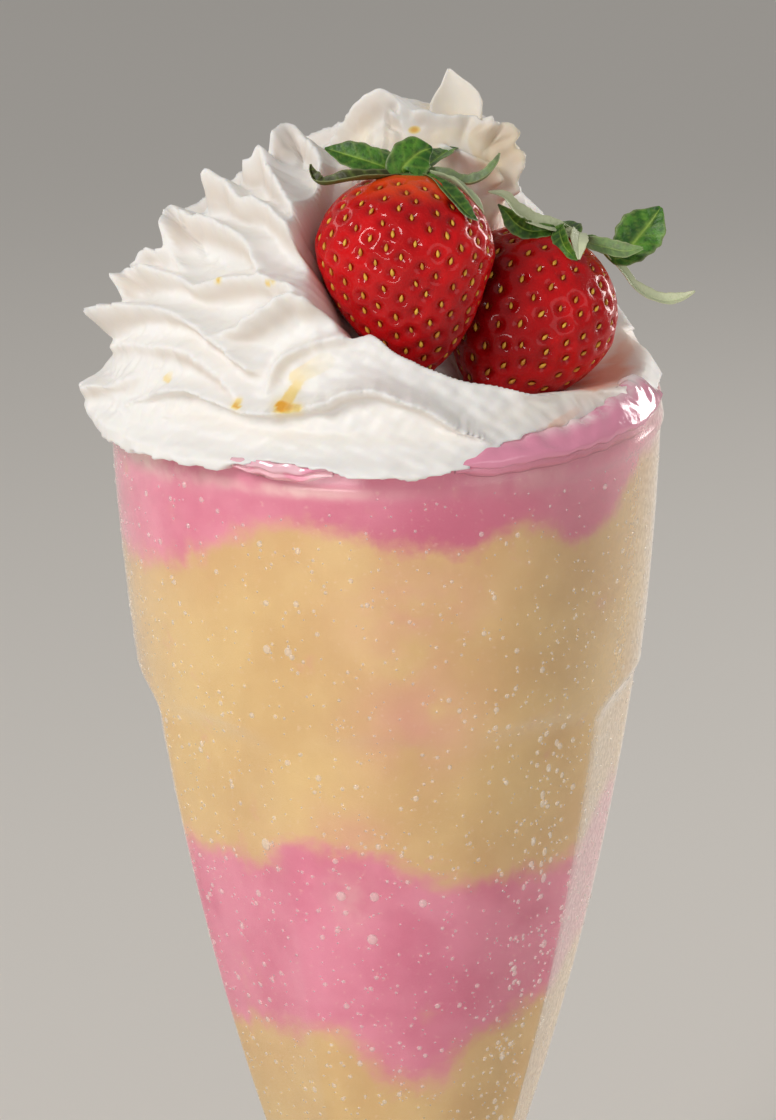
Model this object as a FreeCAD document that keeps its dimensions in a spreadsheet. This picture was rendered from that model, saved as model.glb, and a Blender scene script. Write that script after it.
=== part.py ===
"""Condensed milk milkshake: a fluted soda glass filled with two shades of shake in
four bands, a piped mound of whipped cream and two whole strawberries.

Millimetres, +Z up. The origin is the centre of the foot's underside, and someone
who faces the drink looks along +Y, with +X to the right.
"""
import FreeCAD
import Part
import math
import os
import Sketcher

Vector = FreeCAD.Vector

# Driving dimensions: name, value and what it sets.
SIZES = [
    # Glass
    ("glass_height", 196.0, "foot underside to rim"),
    ("rim_radius", 45.2, "outside of the rim"),
    ("rim_wall", 2.6, "wall at the rim"),
    ("band_height", 147.0, "height where the smooth upper band ends"),
    ("band_radius", 41.2, "outside at that height"),
    ("band_curve", 520.0, "radius of the band's outline"),
    ("bowl_curve", 520.0, "radius of the bowl's outline"),
    ("bowl_wall", 4.4, "wall of the bowl across a ridge"),
    ("floor_height", 43.0, "lowest point of the bowl's inside"),
    ("floor_radius", 12.0, "where the inside turns into its round floor"),
    ("floor_rise", 8.0, "height of that round floor"),
    ("floor_curve", 14.0, "radius of the round floor"),
    ("stem_top_height", 38.0, "where the bowl meets the stem"),
    ("stem_top_radius", 13.5, "stem there"),
    ("stem_radius", 12.0, "stem above and below its bead"),
    ("knob_height", 9.0, "height of the bead on the stem"),
    ("knob_curve", 5.6, "radius of the bead's outline"),
    ("foot_radius", 36.5, "outside of the foot"),
    ("foot_edge", 1.8, "rounding of the foot's edge"),
    ("foot_thickness", 5.0, "foot at its edge"),
    ("foot_height", 21.0, "top of the foot's flare"),
    ("foot_curve", 32.0, "radius of the foot's flare"),
    ("flute_count", 9, "flat panels round the bowl"),
    ("flute_depth", 1.9, "panel below the ridges' round outline"),
    ("flute_drop", 4.0, "top of a panel's straight part below the band"),
    ("flute_runout", 9.0, "radius of the runouts at a panel's ends"),
    ("flute_leave", 60.0, "turn of those runouts, degrees"),
    ("flute_foot", 5.0, "end of a panel's straight part above the stem"),
    ("flute_turn", -16.0, "turn of the first panel from +X, degrees"),
    # Drink
    ("fill_gap", 0.1, "modelling clearance between drink and glass"),
    ("fill_drop", 2.0, "drink below the rim"),
    ("lower_milk_top", 93.3, "mean top of the lowest milk band"),
    ("lower_pink_top", 123.9, "mean top of the lower strawberry band"),
    ("upper_milk_top", 180.4, "mean top of the upper milk band"),
    ("border_swing", 1.0, "rise and fall of the borders over the heights drawn for them"),
    ("border_level", 30.0, "radius inside which the borders level out"),
    # Whipped cream
    ("cream_height", 55.0, "peak above the rim"),
    ("cream_inset", 1.5, "foot of the mound inside the glass"),
    ("cream_overhang", 1.8, "mean half width of the mound beyond the rim"),
    ("cream_shift", 7.0, "peak to the right of the middle"),
    ("ridge_count", 10, "piped ridges round the mound"),
    ("lip_rise", 4.0, "height in which the mound spreads over the rim"),
    ("ridge_depth", 5.0, "height of the ridges"),
    ("ridge_rise", 5.0, "height in which the ridges reach their depth"),
    ("ridge_twist", 170.0, "turn of the ridges from rim to peak, degrees"),
    ("ridge_start", 200.0, "bearing at the rim of the ridge that the surface starts on, degrees"),
    ("coil_depth", 2.2, "height of the coil that runs round the mound"),
    ("coil_turns", 2.3, "turns of that coil"),
    ("nest_bearing", -48.0, "direction of the hollow for the berries, degrees"),
    ("nest_spread", 62.0, "half width of that hollow, degrees"),
    ("nest_share", 0.66, "share of the mound's width that it takes"),
    ("nest_floor", 15.0, "its floor above the rim"),
    ("nest_fall", 0.25, "fall of that floor to the right, per unit of width"),
    ("nest_rise", 8.0, "height in which the hollow reaches its depth"),
    # Strawberries
    ("left_radius", 14.2, "half width of the left strawberry"),
    ("left_length", 32.5, "its length"),
    ("left_right", 3.6, "its widest point to the right"),
    ("left_back", -19.5, "its widest point backwards"),
    ("left_rise", 28.5, "its widest point above the rim"),
    ("left_lean", 14.0, "its lean away from the viewer, degrees"),
    ("left_roll", 3.0, "its lean to the right, degrees"),
    ("right_radius", 13.8, "half width of the right strawberry"),
    ("right_length", 31.0, "its length"),
    ("berry_gap", 1.5, "room between the widest parts of the two"),
    ("berry_bearing", 33.2, "direction from the left to the right one, degrees"),
    ("berry_drop", 24.4, "fall from the left to the right one, degrees"),
    ("right_lean", 36.0, "its lean away from the viewer, degrees"),
    ("right_roll", 36.0, "its lean to the right, degrees"),
    ("shoulder_share", 0.37, "part of a berry above its widest point"),
    ("left_tip", 4.4, "rounding of the left berry's tip"),
    ("right_tip", 6.0, "rounding of the right berry's blunter tip"),
    ("tip_turn", 57.0, "turn of that rounding to either side, degrees"),
    ("left_flank", 1.05, "radius of the left berry's flank over its length"),
    ("right_flank", 0.72, "radius of the right berry's fuller flank over its length"),
    ("shoulder_curve", 0.92, "radius of its shoulder over its half width"),
    ("dimple_radius", 3.6, "dimple under the leaves"),
    ("dimple_depth", 1.6, "depth of that dimple"),
    # Leaves
    ("leaf_thickness", 0.7, "thickness of a green leaf"),
    ("leaf_width", 6.0, "width of a broad leaf"),
    ("leaf_length", 15.0, "length of a long leaf"),
    ("crown_radius", 2.8, "disc that carries the leaves"),
    ("crown_thickness", 1.4, "thickness of that disc"),
    ("crown_lift", 0.3, "clearance of the disc over its seat in the dimple"),
]

# Shape factors that belong to the forms below and not to any one size.
DOME_BULGE = 2.2
DOME_TAPER = 0.95
RIDGE_FADE = 0.6
RIDGE_MEAN = 0.55
NEST_EDGE = 4
SHIFT_BACK = 0.6
PEAK_CUT = 0.985
LEAF_ROOT = 0.12
LEAF_TAPER = 0.7
LEAF_CUP = 0.16

# How finely the free forms are sampled.
BORDER_SPREAD = 1.15
BORDER_STEPS = 34
POINTS_PER_RIDGE = 8
CREAM_LEVELS = 18
LEAF_STEPS = 6

# Borders between the bands at the side of the drink: bearing in degrees from the
# front, towards the right, and height over the border's mean.
BORDERS = {
    "low": [(-150, 4.7), (-100, -0.3), (-59, 1.1), (-30, 1.6), (-16, -0.2), (-3, -7.3), (15, -9.4),
              (21, -3.3), (40, 0.6), (67, 5.4), (100, 7.7), (150, -0.3)],
    "middle": [(-150, 2.1), (-110, -3.9), (-73, -0.7), (-55, -1.2), (-39, 0.1), (-25, 4.9), (-5, 3.3),
                 (9, -2.5), (26, -2.6), (56, -3.2), (70, -0.2), (85, 5.1), (110, 2.1), (150, -2.9)],
    "high": [(-150, 0.6), (-115, -4.4), (-85, -11.7), (-63, -8.6), (-41, -1.2), (-29, 4.6),
               (-12.6, 3.1), (-2, 1.5), (18, 0.5), (35, 3.1), (41, -0.4), (50, -1.0), (60, 3.2),
               (67.5, 6.8), (100, 5.6), (150, -2.4)],
}

# Leaves round each berry: bearing in degrees from the right, towards the back,
# then length and width as shares of a large leaf, and the rise and curl of its
# point as shares of that length.
LEAVES = {
    "left": [
        (12, 0.85, 0.55, 0.10, -0.08),
        (55, 0.55, 0.80, 0.45, 0.15),
        (98, 0.42, 0.80, 0.80, 0.30),
        (135, 0.60, 1.15, 0.42, -0.05),
        (176, 1.00, 0.95, 0.22, 0.06),
        (207, 1.12, 0.55, -0.20, 0.30),
        (308, 0.75, 0.60, -0.05, -0.22),
        (342, 0.90, 0.50, -0.25, 0.55),
    ],
    "right": [
        (8, 1.35, 0.42, 0.08, -0.16),
        (70, 0.42, 0.70, 0.80, 0.30),
        (130, 0.42, 0.70, 0.80, 0.30),
        (196, 0.85, 0.70, 0.30, 0.12),
        (226, 0.60, 0.80, 0.22, -0.06),
        (268, 0.50, 0.75, 0.05, -0.20),
        (328, 0.78, 1.20, 0.50, 0.05),
        (350, 0.75, 0.45, 0.10, 0.05),
    ],
}


class Size:
    """A length that keeps the sheet expression that gives it beside its value."""

    def __init__(self, value, text):
        self.value = float(value)
        self.text = text

    @staticmethod
    def of(item):
        return item if isinstance(item, Size) else Size(item, repr(item))

    def __add__(self, other):
        other = Size.of(other)
        return Size(self.value + other.value, f"({self.text} + {other.text})")

    def __sub__(self, other):
        other = Size.of(other)
        return Size(self.value - other.value, f"({self.text} - {other.text})")

    def __mul__(self, other):
        other = Size.of(other)
        return Size(self.value * other.value, f"({self.text} * {other.text})")


def make_sheet(doc):
    """The spreadsheet of driving dimensions, one named cell a row."""
    sheet = doc.addObject("Spreadsheet::Sheet", "Sizes")
    for row, (name, value, note) in enumerate(SIZES, start=1):
        sheet.set(f"A{row}", str(value))
        sheet.setAlias(f"A{row}", name)
        sheet.set(f"B{row}", note)
    doc.recompute()
    return sheet


DOC = FreeCAD.newDocument("Milkshake")
SHEET = make_sheet(DOC)


def size(name):
    return Size(getattr(SHEET, name), f"Sizes.{name}")


def num(name):
    return float(getattr(SHEET, name))


# ---------------------------------------------------------------- sketches

def arc_between(start, end, radius, side):
    """The short arc from start to end. side 1 has its centre to the left."""
    chord = end - start
    normal = Vector(-chord.y, chord.x, 0).normalize()
    height = math.sqrt(max(radius ** 2 - (chord.Length / 2) ** 2, 0.0))
    centre = (start + end) * 0.5 + normal * (side * height)
    first, last = (start, end) if side > 0 else (end, start)
    angles = [math.atan2(p.y - centre.y, p.x - centre.x) for p in (first, last)]
    circle = Part.Circle(centre, Vector(0, 0, 1), radius)
    return Part.ArcOfCircle(circle, angles[0], angles[1])


def bind(sketch, kind, geometry, point, length):
    """A dimension of the sketch, driven by the sheet."""
    if point:
        index = sketch.addConstraint(Sketcher.Constraint(kind, geometry, point, length.value))
    else:
        index = sketch.addConstraint(Sketcher.Constraint(kind, geometry, length.value))
    sketch.setExpression(f"Constraints[{index}]", length.text)


def outline(body, name, corners, curves):
    """A closed sketch on the body's XZ plane.

    corners are (x, z) pairs of Size. curves gives, for the edge that starts at a
    corner, the radius of its arc and the side that the arc's centre is on.
    """
    sketch = body.newObject("Sketcher::SketchObject", name)
    plane = [f for f in body.Origin.OriginFeatures if f.Role == "XZ_Plane"][0]
    sketch.AttachmentSupport = [(plane, "")]
    sketch.MapMode = "FlatFace"
    points = [Vector(x.value, z.value, 0) for x, z in corners]
    ends = []
    for i, start in enumerate(points):
        end = points[(i + 1) % len(points)]
        if i in curves:
            radius, side = curves[i]
            sketch.addGeometry(arc_between(start, end, radius.value, side))
            ends.append((1, 2) if side > 0 else (2, 1))
        else:
            sketch.addGeometry(Part.LineSegment(start, end))
            ends.append((1, 2))
    for i, (x, z) in enumerate(corners):
        before = (i - 1) % len(corners)
        sketch.addConstraint(Sketcher.Constraint("Coincident", before, ends[before][1], i, ends[i][0]))
        bind(sketch, "DistanceX", i, ends[i][0], x)
        bind(sketch, "DistanceY", i, ends[i][0], z)
    for i, (radius, side) in curves.items():
        bind(sketch, "Radius", i, None, radius)
    return sketch


def revolve(body, sketch):
    """A full turn of the sketch about its own vertical axis."""
    turned = body.newObject("PartDesign::Revolution", sketch.Name + "Turned")
    turned.Profile = sketch
    turned.ReferenceAxis = (sketch, ["V_Axis"])
    turned.Angle = 360
    DOC.recompute()
    return turned


def new_body(label):
    body = DOC.addObject("PartDesign::Body", label)
    body.Label = label
    return body


# ---------------------------------------------------------------- glass

def glass_outline(body):
    zero = size("glass_height") * 0
    foot = size("foot_radius")
    edge = size("foot_edge")
    foot_top = size("foot_thickness")
    knob_low = size("foot_height")
    knob_top = knob_low + size("knob_height")
    lip = size("rim_wall") * 0.5
    rim = size("rim_radius")
    lip_z = size("glass_height") - lip
    corners = [
        (zero, zero),
        (foot - edge, zero),
        (foot, edge),
        (foot, foot_top - edge),
        (foot - edge, foot_top),
        (size("stem_radius"), knob_low),
        (size("stem_radius"), knob_top),
        (size("stem_top_radius"), size("stem_top_height")),
        (size("band_radius"), size("band_height")),
        (rim, lip_z),
        (rim - lip, size("glass_height")),
        (rim - lip - lip, lip_z),
        (size("band_radius") - size("bowl_wall"), size("band_height")),
        (size("floor_radius"), size("floor_height") + size("floor_rise")),
        (zero, size("floor_height")),
    ]
    curves = {
        1: (edge, 1),
        3: (edge, 1),
        4: (size("foot_curve"), -1),
        5: (size("knob_curve"), 1),
        7: (size("bowl_curve"), 1),
        8: (size("band_curve"), 1),
        9: (lip, 1),
        10: (lip, 1),
        11: (size("band_curve"), -1),
        12: (size("bowl_curve"), -1),
        13: (size("floor_curve"), -1),
    }
    return outline(body, "GlassOutline", corners, curves)


def flute_outline(body):
    """The side view of what one flat panel takes off, outside the bowl."""
    depth = size("flute_depth")
    slope = (num("band_radius") - num("stem_top_radius")) / (num("band_height") - num("stem_top_height"))
    top = size("band_height") - size("flute_drop")
    low = size("stem_top_height") + size("flute_foot")
    top_x = size("band_radius") - size("flute_drop") * slope - depth
    low_x = size("stem_top_radius") + size("flute_foot") * slope - depth
    leave = math.radians(num("flute_leave"))
    reach = size("flute_runout") * (1 - math.cos(leave))
    rise = size("flute_runout") * math.sin(leave)
    outside = size("rim_radius") * 1.5
    corners = [
        (low_x, low),
        (low_x + reach, low - rise),
        (outside, low - rise),
        (outside, top + rise),
        (top_x + reach, top + rise),
        (top_x, top),
    ]
    curves = {
        0: (size("flute_runout"), 1),
        4: (size("flute_runout"), 1),
        5: (size("bowl_curve"), -1),
    }
    return outline(body, "FluteOutline", corners, curves)


def make_glass():
    """Foot, stem, fluted bowl and smooth rim in one pressed piece of glass."""
    body = new_body("glass")
    outline_sketch = glass_outline(body)
    wall = revolve(body, outline_sketch)
    whole = wall.Shape.Volume
    flute = body.newObject("PartDesign::Pocket", "Flute")
    flute.Profile = flute_outline(body)
    flute.Type = "ThroughAll"
    flute.SideType = "Symmetric"
    DOC.recompute()
    if not flute.Shape.Volume < whole:
        raise ValueError("the flute cuts nothing")
    ring = body.newObject("PartDesign::PolarPattern", "Flutes")
    ring.Originals = [flute]
    ring.Axis = (outline_sketch, ["V_Axis"])
    ring.Angle = 360
    ring.setExpression("Occurrences", "Sizes.flute_count")
    body.Tip = ring
    body.setExpression("Placement.Rotation.Angle", "Sizes.flute_turn")
    return body


# ---------------------------------------------------------------- drink

def make_cavity():
    """Inside of the glass up to the rim, less the fill gap."""
    body = new_body("cavity")
    gap = size("fill_gap")
    zero = gap * 0
    lip = size("rim_wall") * 0.5
    lip_z = size("glass_height") - lip
    corners = [
        (zero, size("floor_height") + gap),
        (size("floor_radius") - gap, size("floor_height") + size("floor_rise")),
        (size("band_radius") - size("bowl_wall") - gap, size("band_height")),
        (size("rim_radius") - lip - lip - gap, lip_z),
        (zero, lip_z),
    ]
    curves = {
        0: (size("floor_curve"), 1),
        1: (size("bowl_curve"), 1),
        2: (size("band_curve"), 1),
    }
    revolve(body, outline(body, "CavityOutline", corners, curves))
    return body


def smooth(share):
    share = min(max(share, 0.0), 1.0)
    return share * share * (3 - 2 * share)


def border_height(name, level, x, y):
    """Height of a border: as drawn round the side, level in the middle."""
    bearing = math.degrees(math.atan2(x, -y))
    table = BORDERS[name]
    ring = [(table[-1][0] - 360, table[-1][1])] + table + [(table[0][0] + 360, table[0][1])]
    for (low, below), (high, above) in zip(ring, ring[1:]):
        if low <= bearing <= high:
            drawn = below + (above - below) * smooth((bearing - low) / (high - low))
    share = smooth(math.hypot(x, y) / num("border_level"))
    return level + num("border_swing") * drawn * share


def make_border(name, level):
    """A block of everything under one wavy border, a little wider than the glass."""
    reach = num("rim_radius") * BORDER_SPREAD
    ticks = [reach * (2 * i / BORDER_STEPS - 1) for i in range(BORDER_STEPS + 1)]
    rows = [[Vector(x, y, border_height(name, level, x, y)) for y in ticks] for x in ticks]
    surface = Part.BSplineSurface()
    surface.interpolate(rows)
    block = DOC.addObject("Part::Feature", f"Border{name.title()}")
    block.Shape = surface.toShape().extrude(Vector(0, 0, -num("glass_height")))
    return block


def make_fill():
    """A plain cylinder up to the drink's level."""
    block = DOC.addObject("Part::Cylinder", "FillLevel")
    block.setExpression("Radius", "Sizes.rim_radius")
    block.setExpression("Height", "Sizes.glass_height - Sizes.fill_drop")
    return block


def boolean(kind, name, base, tool):
    result = DOC.addObject(kind, name)
    result.Base = base
    result.Tool = tool
    result.Label = name
    return result


def make_bands():
    """The four bands of shake, from the bottom up, each on the one below."""
    cavity = make_cavity()
    tops = [
        make_border("low", num("lower_milk_top")),
        make_border("middle", num("lower_pink_top")),
        make_border("high", num("upper_milk_top")),
        make_fill(),
    ]
    names = ["lower_milk_band", "lower_pink_band", "upper_milk_band", "upper_pink_band"]
    bands = [boolean("Part::Common", names[0], cavity, tops[0])]
    for i in range(1, len(names)):
        part = boolean("Part::Common", f"UpTo{i}", cavity, tops[i])
        bands.append(boolean("Part::Cut", names[i], part, tops[i - 1]))
    return bands


# ---------------------------------------------------------------- whipped cream

def mound_radius():
    return num("rim_radius") + num("cream_overhang")


def nest(angle, rise):
    """Share of the mound's width that the berries' hollow takes away."""
    off = (math.degrees(angle) - num("nest_bearing") + 180) % 360 - 180
    window = math.exp(-((off / num("nest_spread")) ** NEST_EDGE))
    floor = num("nest_floor") - num("nest_fall") * mound_radius() * math.cos(angle)
    return num("nest_share") * window * smooth((rise - floor) / num("nest_rise") + 0.25)


def ridge_turn(rise):
    """Turn of the ridges between the rim and a height above it."""
    return math.radians(num("ridge_twist")) * rise / num("cream_height")


def cream_radius(angle, rise):
    """Half width of the mound at a height above the rim."""
    share = rise / num("cream_height")
    dome = (1 - max(share, 0.0) ** DOME_BULGE) ** DOME_TAPER
    inside = num("rim_radius") - num("rim_wall") - num("cream_inset")
    base = inside + (mound_radius() - inside) * smooth(rise / num("lip_rise") + 0.5)
    fade = smooth(rise / num("ridge_rise")) * dome ** RIDGE_FADE
    phase = num("ridge_count") * (angle - math.radians(num("ridge_start")) + ridge_turn(rise)) / 2
    ridge = num("ridge_depth") * (RIDGE_MEAN - abs(math.sin(phase)))
    coil = num("coil_depth") * math.sin(2 * math.pi * num("coil_turns") * share - angle)
    return (base * dome + (ridge + coil) * fade) * (1 - nest(angle, rise))


def cream_curve(rise):
    """One level slice of the mound, a closed curve whose points keep to the ridges."""
    count = POINTS_PER_RIDGE * int(num("ridge_count"))
    shift = num("cream_shift") * max(rise, 0) / num("cream_height")
    points = []
    for i in range(count):
        angle = math.radians(num("ridge_start")) + 2 * math.pi * i / count - ridge_turn(rise)
        radius = cream_radius(angle, rise)
        x = shift + radius * math.cos(angle)
        y = SHIFT_BACK * shift + radius * math.sin(angle)
        points.append(Vector(x, y, num("glass_height") + rise))
    curve = Part.BSplineCurve()
    curve.interpolate(Points=points, PeriodicFlag=True, Parameters=list(range(count + 1)))
    return curve


def make_mound():
    """The mound before the rim and the berries are cut out of it."""
    low = -num("fill_drop")
    step = (PEAK_CUT * num("cream_height") - low) / CREAM_LEVELS
    surface = Part.BSplineSurface()
    surface.buildFromNSections([cream_curve(low + step * i) for i in range(CREAM_LEVELS + 1)])
    side = surface.toShape()
    caps = [Part.Face(Part.Wire([edge])) for edge in side.Edges if edge.isClosed()]
    shell = Part.Shell(side.Faces + caps)
    shell.sewShape()
    mound = DOC.addObject("Part::Feature", "Mound")
    mound.Shape = Part.makeSolid(shell)
    return mound


# ---------------------------------------------------------------- strawberries

def berry_spot(side):
    """The widest point of a berry. The right one lies beside the left one."""
    left = Vector(num("left_right"), num("left_back"), num("glass_height") + num("left_rise"))
    if side == "left":
        return left
    bearing = math.radians(num("berry_bearing"))
    drop = math.radians(num("berry_drop"))
    away = Vector(math.cos(drop) * math.cos(bearing), math.cos(drop) * math.sin(bearing), -math.sin(drop))
    return left + away * (num("left_radius") + num("right_radius") + num("berry_gap"))


def place(thing, side):
    """Puts a berry or its leaves at the berry's widest point, with its two leans."""
    lean = FreeCAD.Rotation(Vector(1, 0, 0), -num(f"{side}_lean"))
    roll = FreeCAD.Rotation(Vector(0, 1, 0), num(f"{side}_roll"))
    thing.Placement = FreeCAD.Placement(berry_spot(side), roll.multiply(lean))


def make_berry(side):
    """A whole strawberry with a round tip, broad shoulders and a dimple on top."""
    body = new_body(f"{side}_strawberry")
    radius = size(f"{side}_radius")
    zero = radius * 0
    top = size(f"{side}_length") * size("shoulder_share")
    tip = top - size(f"{side}_length")
    turn = math.radians(num("tip_turn"))
    blunt = size(f"{side}_tip")
    corners = [
        (zero, tip),
        (blunt * math.sin(turn), tip + blunt * (1 - math.cos(turn))),
        (radius, zero),
        (size("dimple_radius"), top),
        (zero, top - size("dimple_depth")),
    ]
    curves = {
        0: (blunt, 1),
        1: (size(f"{side}_length") * size(f"{side}_flank"), 1),
        2: (radius * size("shoulder_curve"), 1),
    }
    revolve(body, outline(body, f"{side.title()}BerryOutline", corners, curves))
    place(body, side)
    return body


def leaf_section(share, width, length, rise, curl):
    """A thin lens across a leaf, at a share of the way to its point."""
    half = 0.5 * width * (max(math.sin(math.pi * share), 0.0) ** LEAF_TAPER + LEAF_ROOT)
    thick = 0.5 * num("leaf_thickness") * (1 - 0.5 * share)
    along = 0.5 * num("crown_radius") + length * share
    height = rise * share + curl * share * share
    cup = LEAF_CUP * half
    ring = [
        Vector(along, -half, height + cup),
        Vector(along, 0, height + thick),
        Vector(along, half, height + cup),
        Vector(along, 0, height - thick),
    ]
    edges = [
        Part.Arc(ring[0], ring[1], ring[2]).toShape(),
        Part.Arc(ring[2], ring[3], ring[0]).toShape(),
    ]
    return Part.Wire(edges)


def make_leaf(seat, bearing, length, width, rise, curl):
    """One leaf, lofted from its root to its point, at its seat on the berry."""
    reach = length * num("leaf_length")
    wires = []
    for i in range(LEAF_STEPS + 1):
        section = leaf_section(i / LEAF_STEPS, width * num("leaf_width"), reach, rise * reach, curl * reach)
        section.translate(Vector(0, 0, seat))
        section.rotate(Vector(), Vector(0, 0, 1), bearing)
        wires.append(section)
    return Part.makeLoft(wires, True, False)


def make_leaves(side):
    """The green leaves of one strawberry on the small disc that carries them."""
    top = num(f"{side}_length") * num("shoulder_share")
    seat = top - num("dimple_depth") * (1 - num("crown_radius") / num("dimple_radius"))
    low = seat + num("crown_lift")
    crown = Part.makeCylinder(num("crown_radius"), num("crown_thickness"), Vector(0, 0, low))
    middle = low + 0.5 * num("crown_thickness")
    holder = DOC.addObject("Part::Feature", f"{side}_leaves")
    holder.Label = f"{side}_leaves"
    holder.Shape = crown.fuse([make_leaf(middle, *leaf) for leaf in LEAVES[side]])
    place(holder, side)
    return holder


# ---------------------------------------------------------------- whole drink

def make_cream(tools):
    """The mound, cut round the rim and round the berries and leaves that sit in it."""
    cream = make_mound()
    for i, tool in enumerate(tools):
        last = i == len(tools) - 1
        name = "whipped_cream" if last else f"CreamCut{i}"
        cream = boolean("Part::Cut", name, cream, tool)
    return cream


def check_document():
    for item in DOC.Objects:
        if "Invalid" in item.State or "Error" in item.State:
            raise ValueError(f"{item.Name} failed: {item.State}")


def write_parts(parts):
    os.makedirs("parts", exist_ok=True)
    for part in parts:
        shape = part.Shape
        if shape.isNull() or not shape.isValid():
            raise ValueError(f"{part.Label} has no valid shape")
        shape.exportStep(f"parts/{part.Label}.step")
        print(part.Label, len(shape.Solids), round(shape.Volume, 1), shape.BoundBox)


def main():
    glass = make_glass()
    bands = make_bands()
    berries = [make_berry("left"), make_berry("right")]
    leaves = [make_leaves("left"), make_leaves("right")]
    cream = make_cream([glass] + berries + leaves)
    DOC.recompute()
    check_document()
    write_parts([glass] + bands + [cream] + berries + leaves)


main()
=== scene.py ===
"""Looks of the condensed milk milkshake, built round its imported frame.

Lengths are millimetres in the frame's own axes unless a name says otherwise:
+Z up, +X to the right and -Y towards someone who faces the drink. A bearing is
in degrees from the front, positive to the right. A turn starts at +X.
"""
import math

import bpy
import numpy as np
from mathutils import Matrix, Vector


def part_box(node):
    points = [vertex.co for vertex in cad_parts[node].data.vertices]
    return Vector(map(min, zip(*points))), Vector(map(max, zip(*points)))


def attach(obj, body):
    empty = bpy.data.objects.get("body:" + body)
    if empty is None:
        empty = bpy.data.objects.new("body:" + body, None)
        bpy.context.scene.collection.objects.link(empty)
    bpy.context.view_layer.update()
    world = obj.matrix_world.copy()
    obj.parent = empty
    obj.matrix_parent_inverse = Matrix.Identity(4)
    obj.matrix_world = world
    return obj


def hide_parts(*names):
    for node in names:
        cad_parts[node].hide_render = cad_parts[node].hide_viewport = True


MM = 0.001

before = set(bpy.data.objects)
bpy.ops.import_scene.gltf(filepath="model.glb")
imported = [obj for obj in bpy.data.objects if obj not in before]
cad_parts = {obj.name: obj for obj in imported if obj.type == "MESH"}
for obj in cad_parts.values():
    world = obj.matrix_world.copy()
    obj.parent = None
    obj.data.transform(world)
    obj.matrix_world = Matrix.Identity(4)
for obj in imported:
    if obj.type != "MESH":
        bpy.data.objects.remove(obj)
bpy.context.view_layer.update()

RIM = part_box("glass")[1].z / MM
RIM_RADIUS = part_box("glass")[1].x / MM
VIEW_TILT = math.radians(17.5)


# ---------------------------------------------------------------- meshes

def add_object(name, data):
    thing = bpy.data.objects.new(name, data)
    bpy.context.scene.collection.objects.link(thing)
    return thing


def add_mesh(name, points, faces, material, slot, node=None, crease=None, values=None):
    """A piece of the drink from points in millimetres, which may stand for a CAD node.

    Point values by name are one number for all, or a list that zeros fill up.
    """
    mesh = bpy.data.meshes.new(name)
    mesh.from_pydata((np.asarray(points, float) * MM).tolist(), [], faces)
    for key, value in (values or {}).items():
        value = np.ravel(value) if np.ndim(value) else np.full(len(points), value)
        value = np.append(value, np.zeros(len(points) - len(value))).astype(np.float32)
        mesh.attributes.new(key, "FLOAT", "POINT").data.foreach_set("value", value)
    mesh.polygons.foreach_set("use_smooth", np.full(len(mesh.polygons), True))
    if crease:
        mesh.set_sharp_from_angle(angle=math.radians(crease))
    mesh.materials.append(material)
    mesh.update()
    thing = add_object(name, mesh)
    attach(thing, "root")
    if node:
        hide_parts(node)


def grid_faces(rows, cols):
    """Quads of a grid whose rows run round a piece, outward for rows that rise."""
    index = np.arange(rows * cols).reshape(rows, cols)
    index = np.concatenate([index, index[:, :1]], axis=1)
    quads = np.stack([index[:-1, :-1], index[:-1, 1:], index[1:, 1:], index[1:, :-1]], axis=-1)
    return quads.reshape(-1, 4).tolist()


def shell(grid, first=None, last=None):
    """A closed skin: a grid with a pole at either end, in the middle of its ring unless given."""
    rows, cols = grid.shape[:2]
    first = grid[0].mean(0) if first is None else first
    last = grid[-1].mean(0) if last is None else last
    points = np.concatenate([grid.reshape(-1, 3), [first], [last]])
    low, top = rows * cols, (rows - 1) * cols
    faces = grid_faces(rows, cols)
    for j in range(cols):
        k = (j + 1) % cols
        faces += [[low, k, j], [low + 1, top + j, top + k]]
    return points, faces


def tube(grid):
    """A closed skin: a grid with a flat face at either end."""
    rows, cols = grid.shape[:2]
    ends = [list(reversed(range(cols))), list(range((rows - 1) * cols, rows * cols))]
    return grid.reshape(-1, 3), grid_faces(rows, cols) + ends


def join(parts):
    """One list of points and one of faces from many (points, faces)."""
    starts = np.cumsum([0] + [len(points) for points, _ in parts])
    faces = [[v + start for v in face] for (_, faces), start in zip(parts, starts) for face in faces]
    return np.concatenate([points for points, _ in parts]), faces


def copies(points, faces, frames):
    """One mesh of many: frames are (origin, 3x3 axes as columns, scale)."""
    return join([((points * scale) @ axes.T + origin, faces) for origin, axes, scale in frames])


def full_turn(cols):
    return np.arange(cols) * 2 * math.pi / cols


def turned(radius, z, turn):
    """Points at a radius, a height and a turn in radians, any of them an array."""
    radius, z, turn = np.broadcast_arrays(radius, z, turn)
    return np.stack([radius * np.cos(turn), radius * np.sin(turn), z], -1)


def lathe(line, cols):
    """A grid from a line of (radius, height)."""
    radius, z = np.array(line, float).T[..., None]
    return turned(radius, z, full_turn(cols))


def direction(bearing, elevation):
    b, e = np.radians(bearing), np.radians(elevation)
    return np.stack([np.sin(b) * np.cos(e), -np.cos(b) * np.cos(e), np.sin(e)], -1)


def bearing_of(x, y):
    return np.degrees(np.arctan2(x, -y))


def unit(vectors):
    return vectors / np.linalg.norm(vectors, axis=-1, keepdims=True)


def smoothstep(share):
    share = np.clip(share, 0.0, 1.0)
    return share * share * (3 - 2 * share)


def bell(x, wide):
    return np.exp(-(x / wide) ** 2)


def soft_min(a, b, soft):
    h = np.maximum(soft - np.abs(a - b), 0.0) / soft
    return np.minimum(a, b) - h * h * soft / 4


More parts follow.
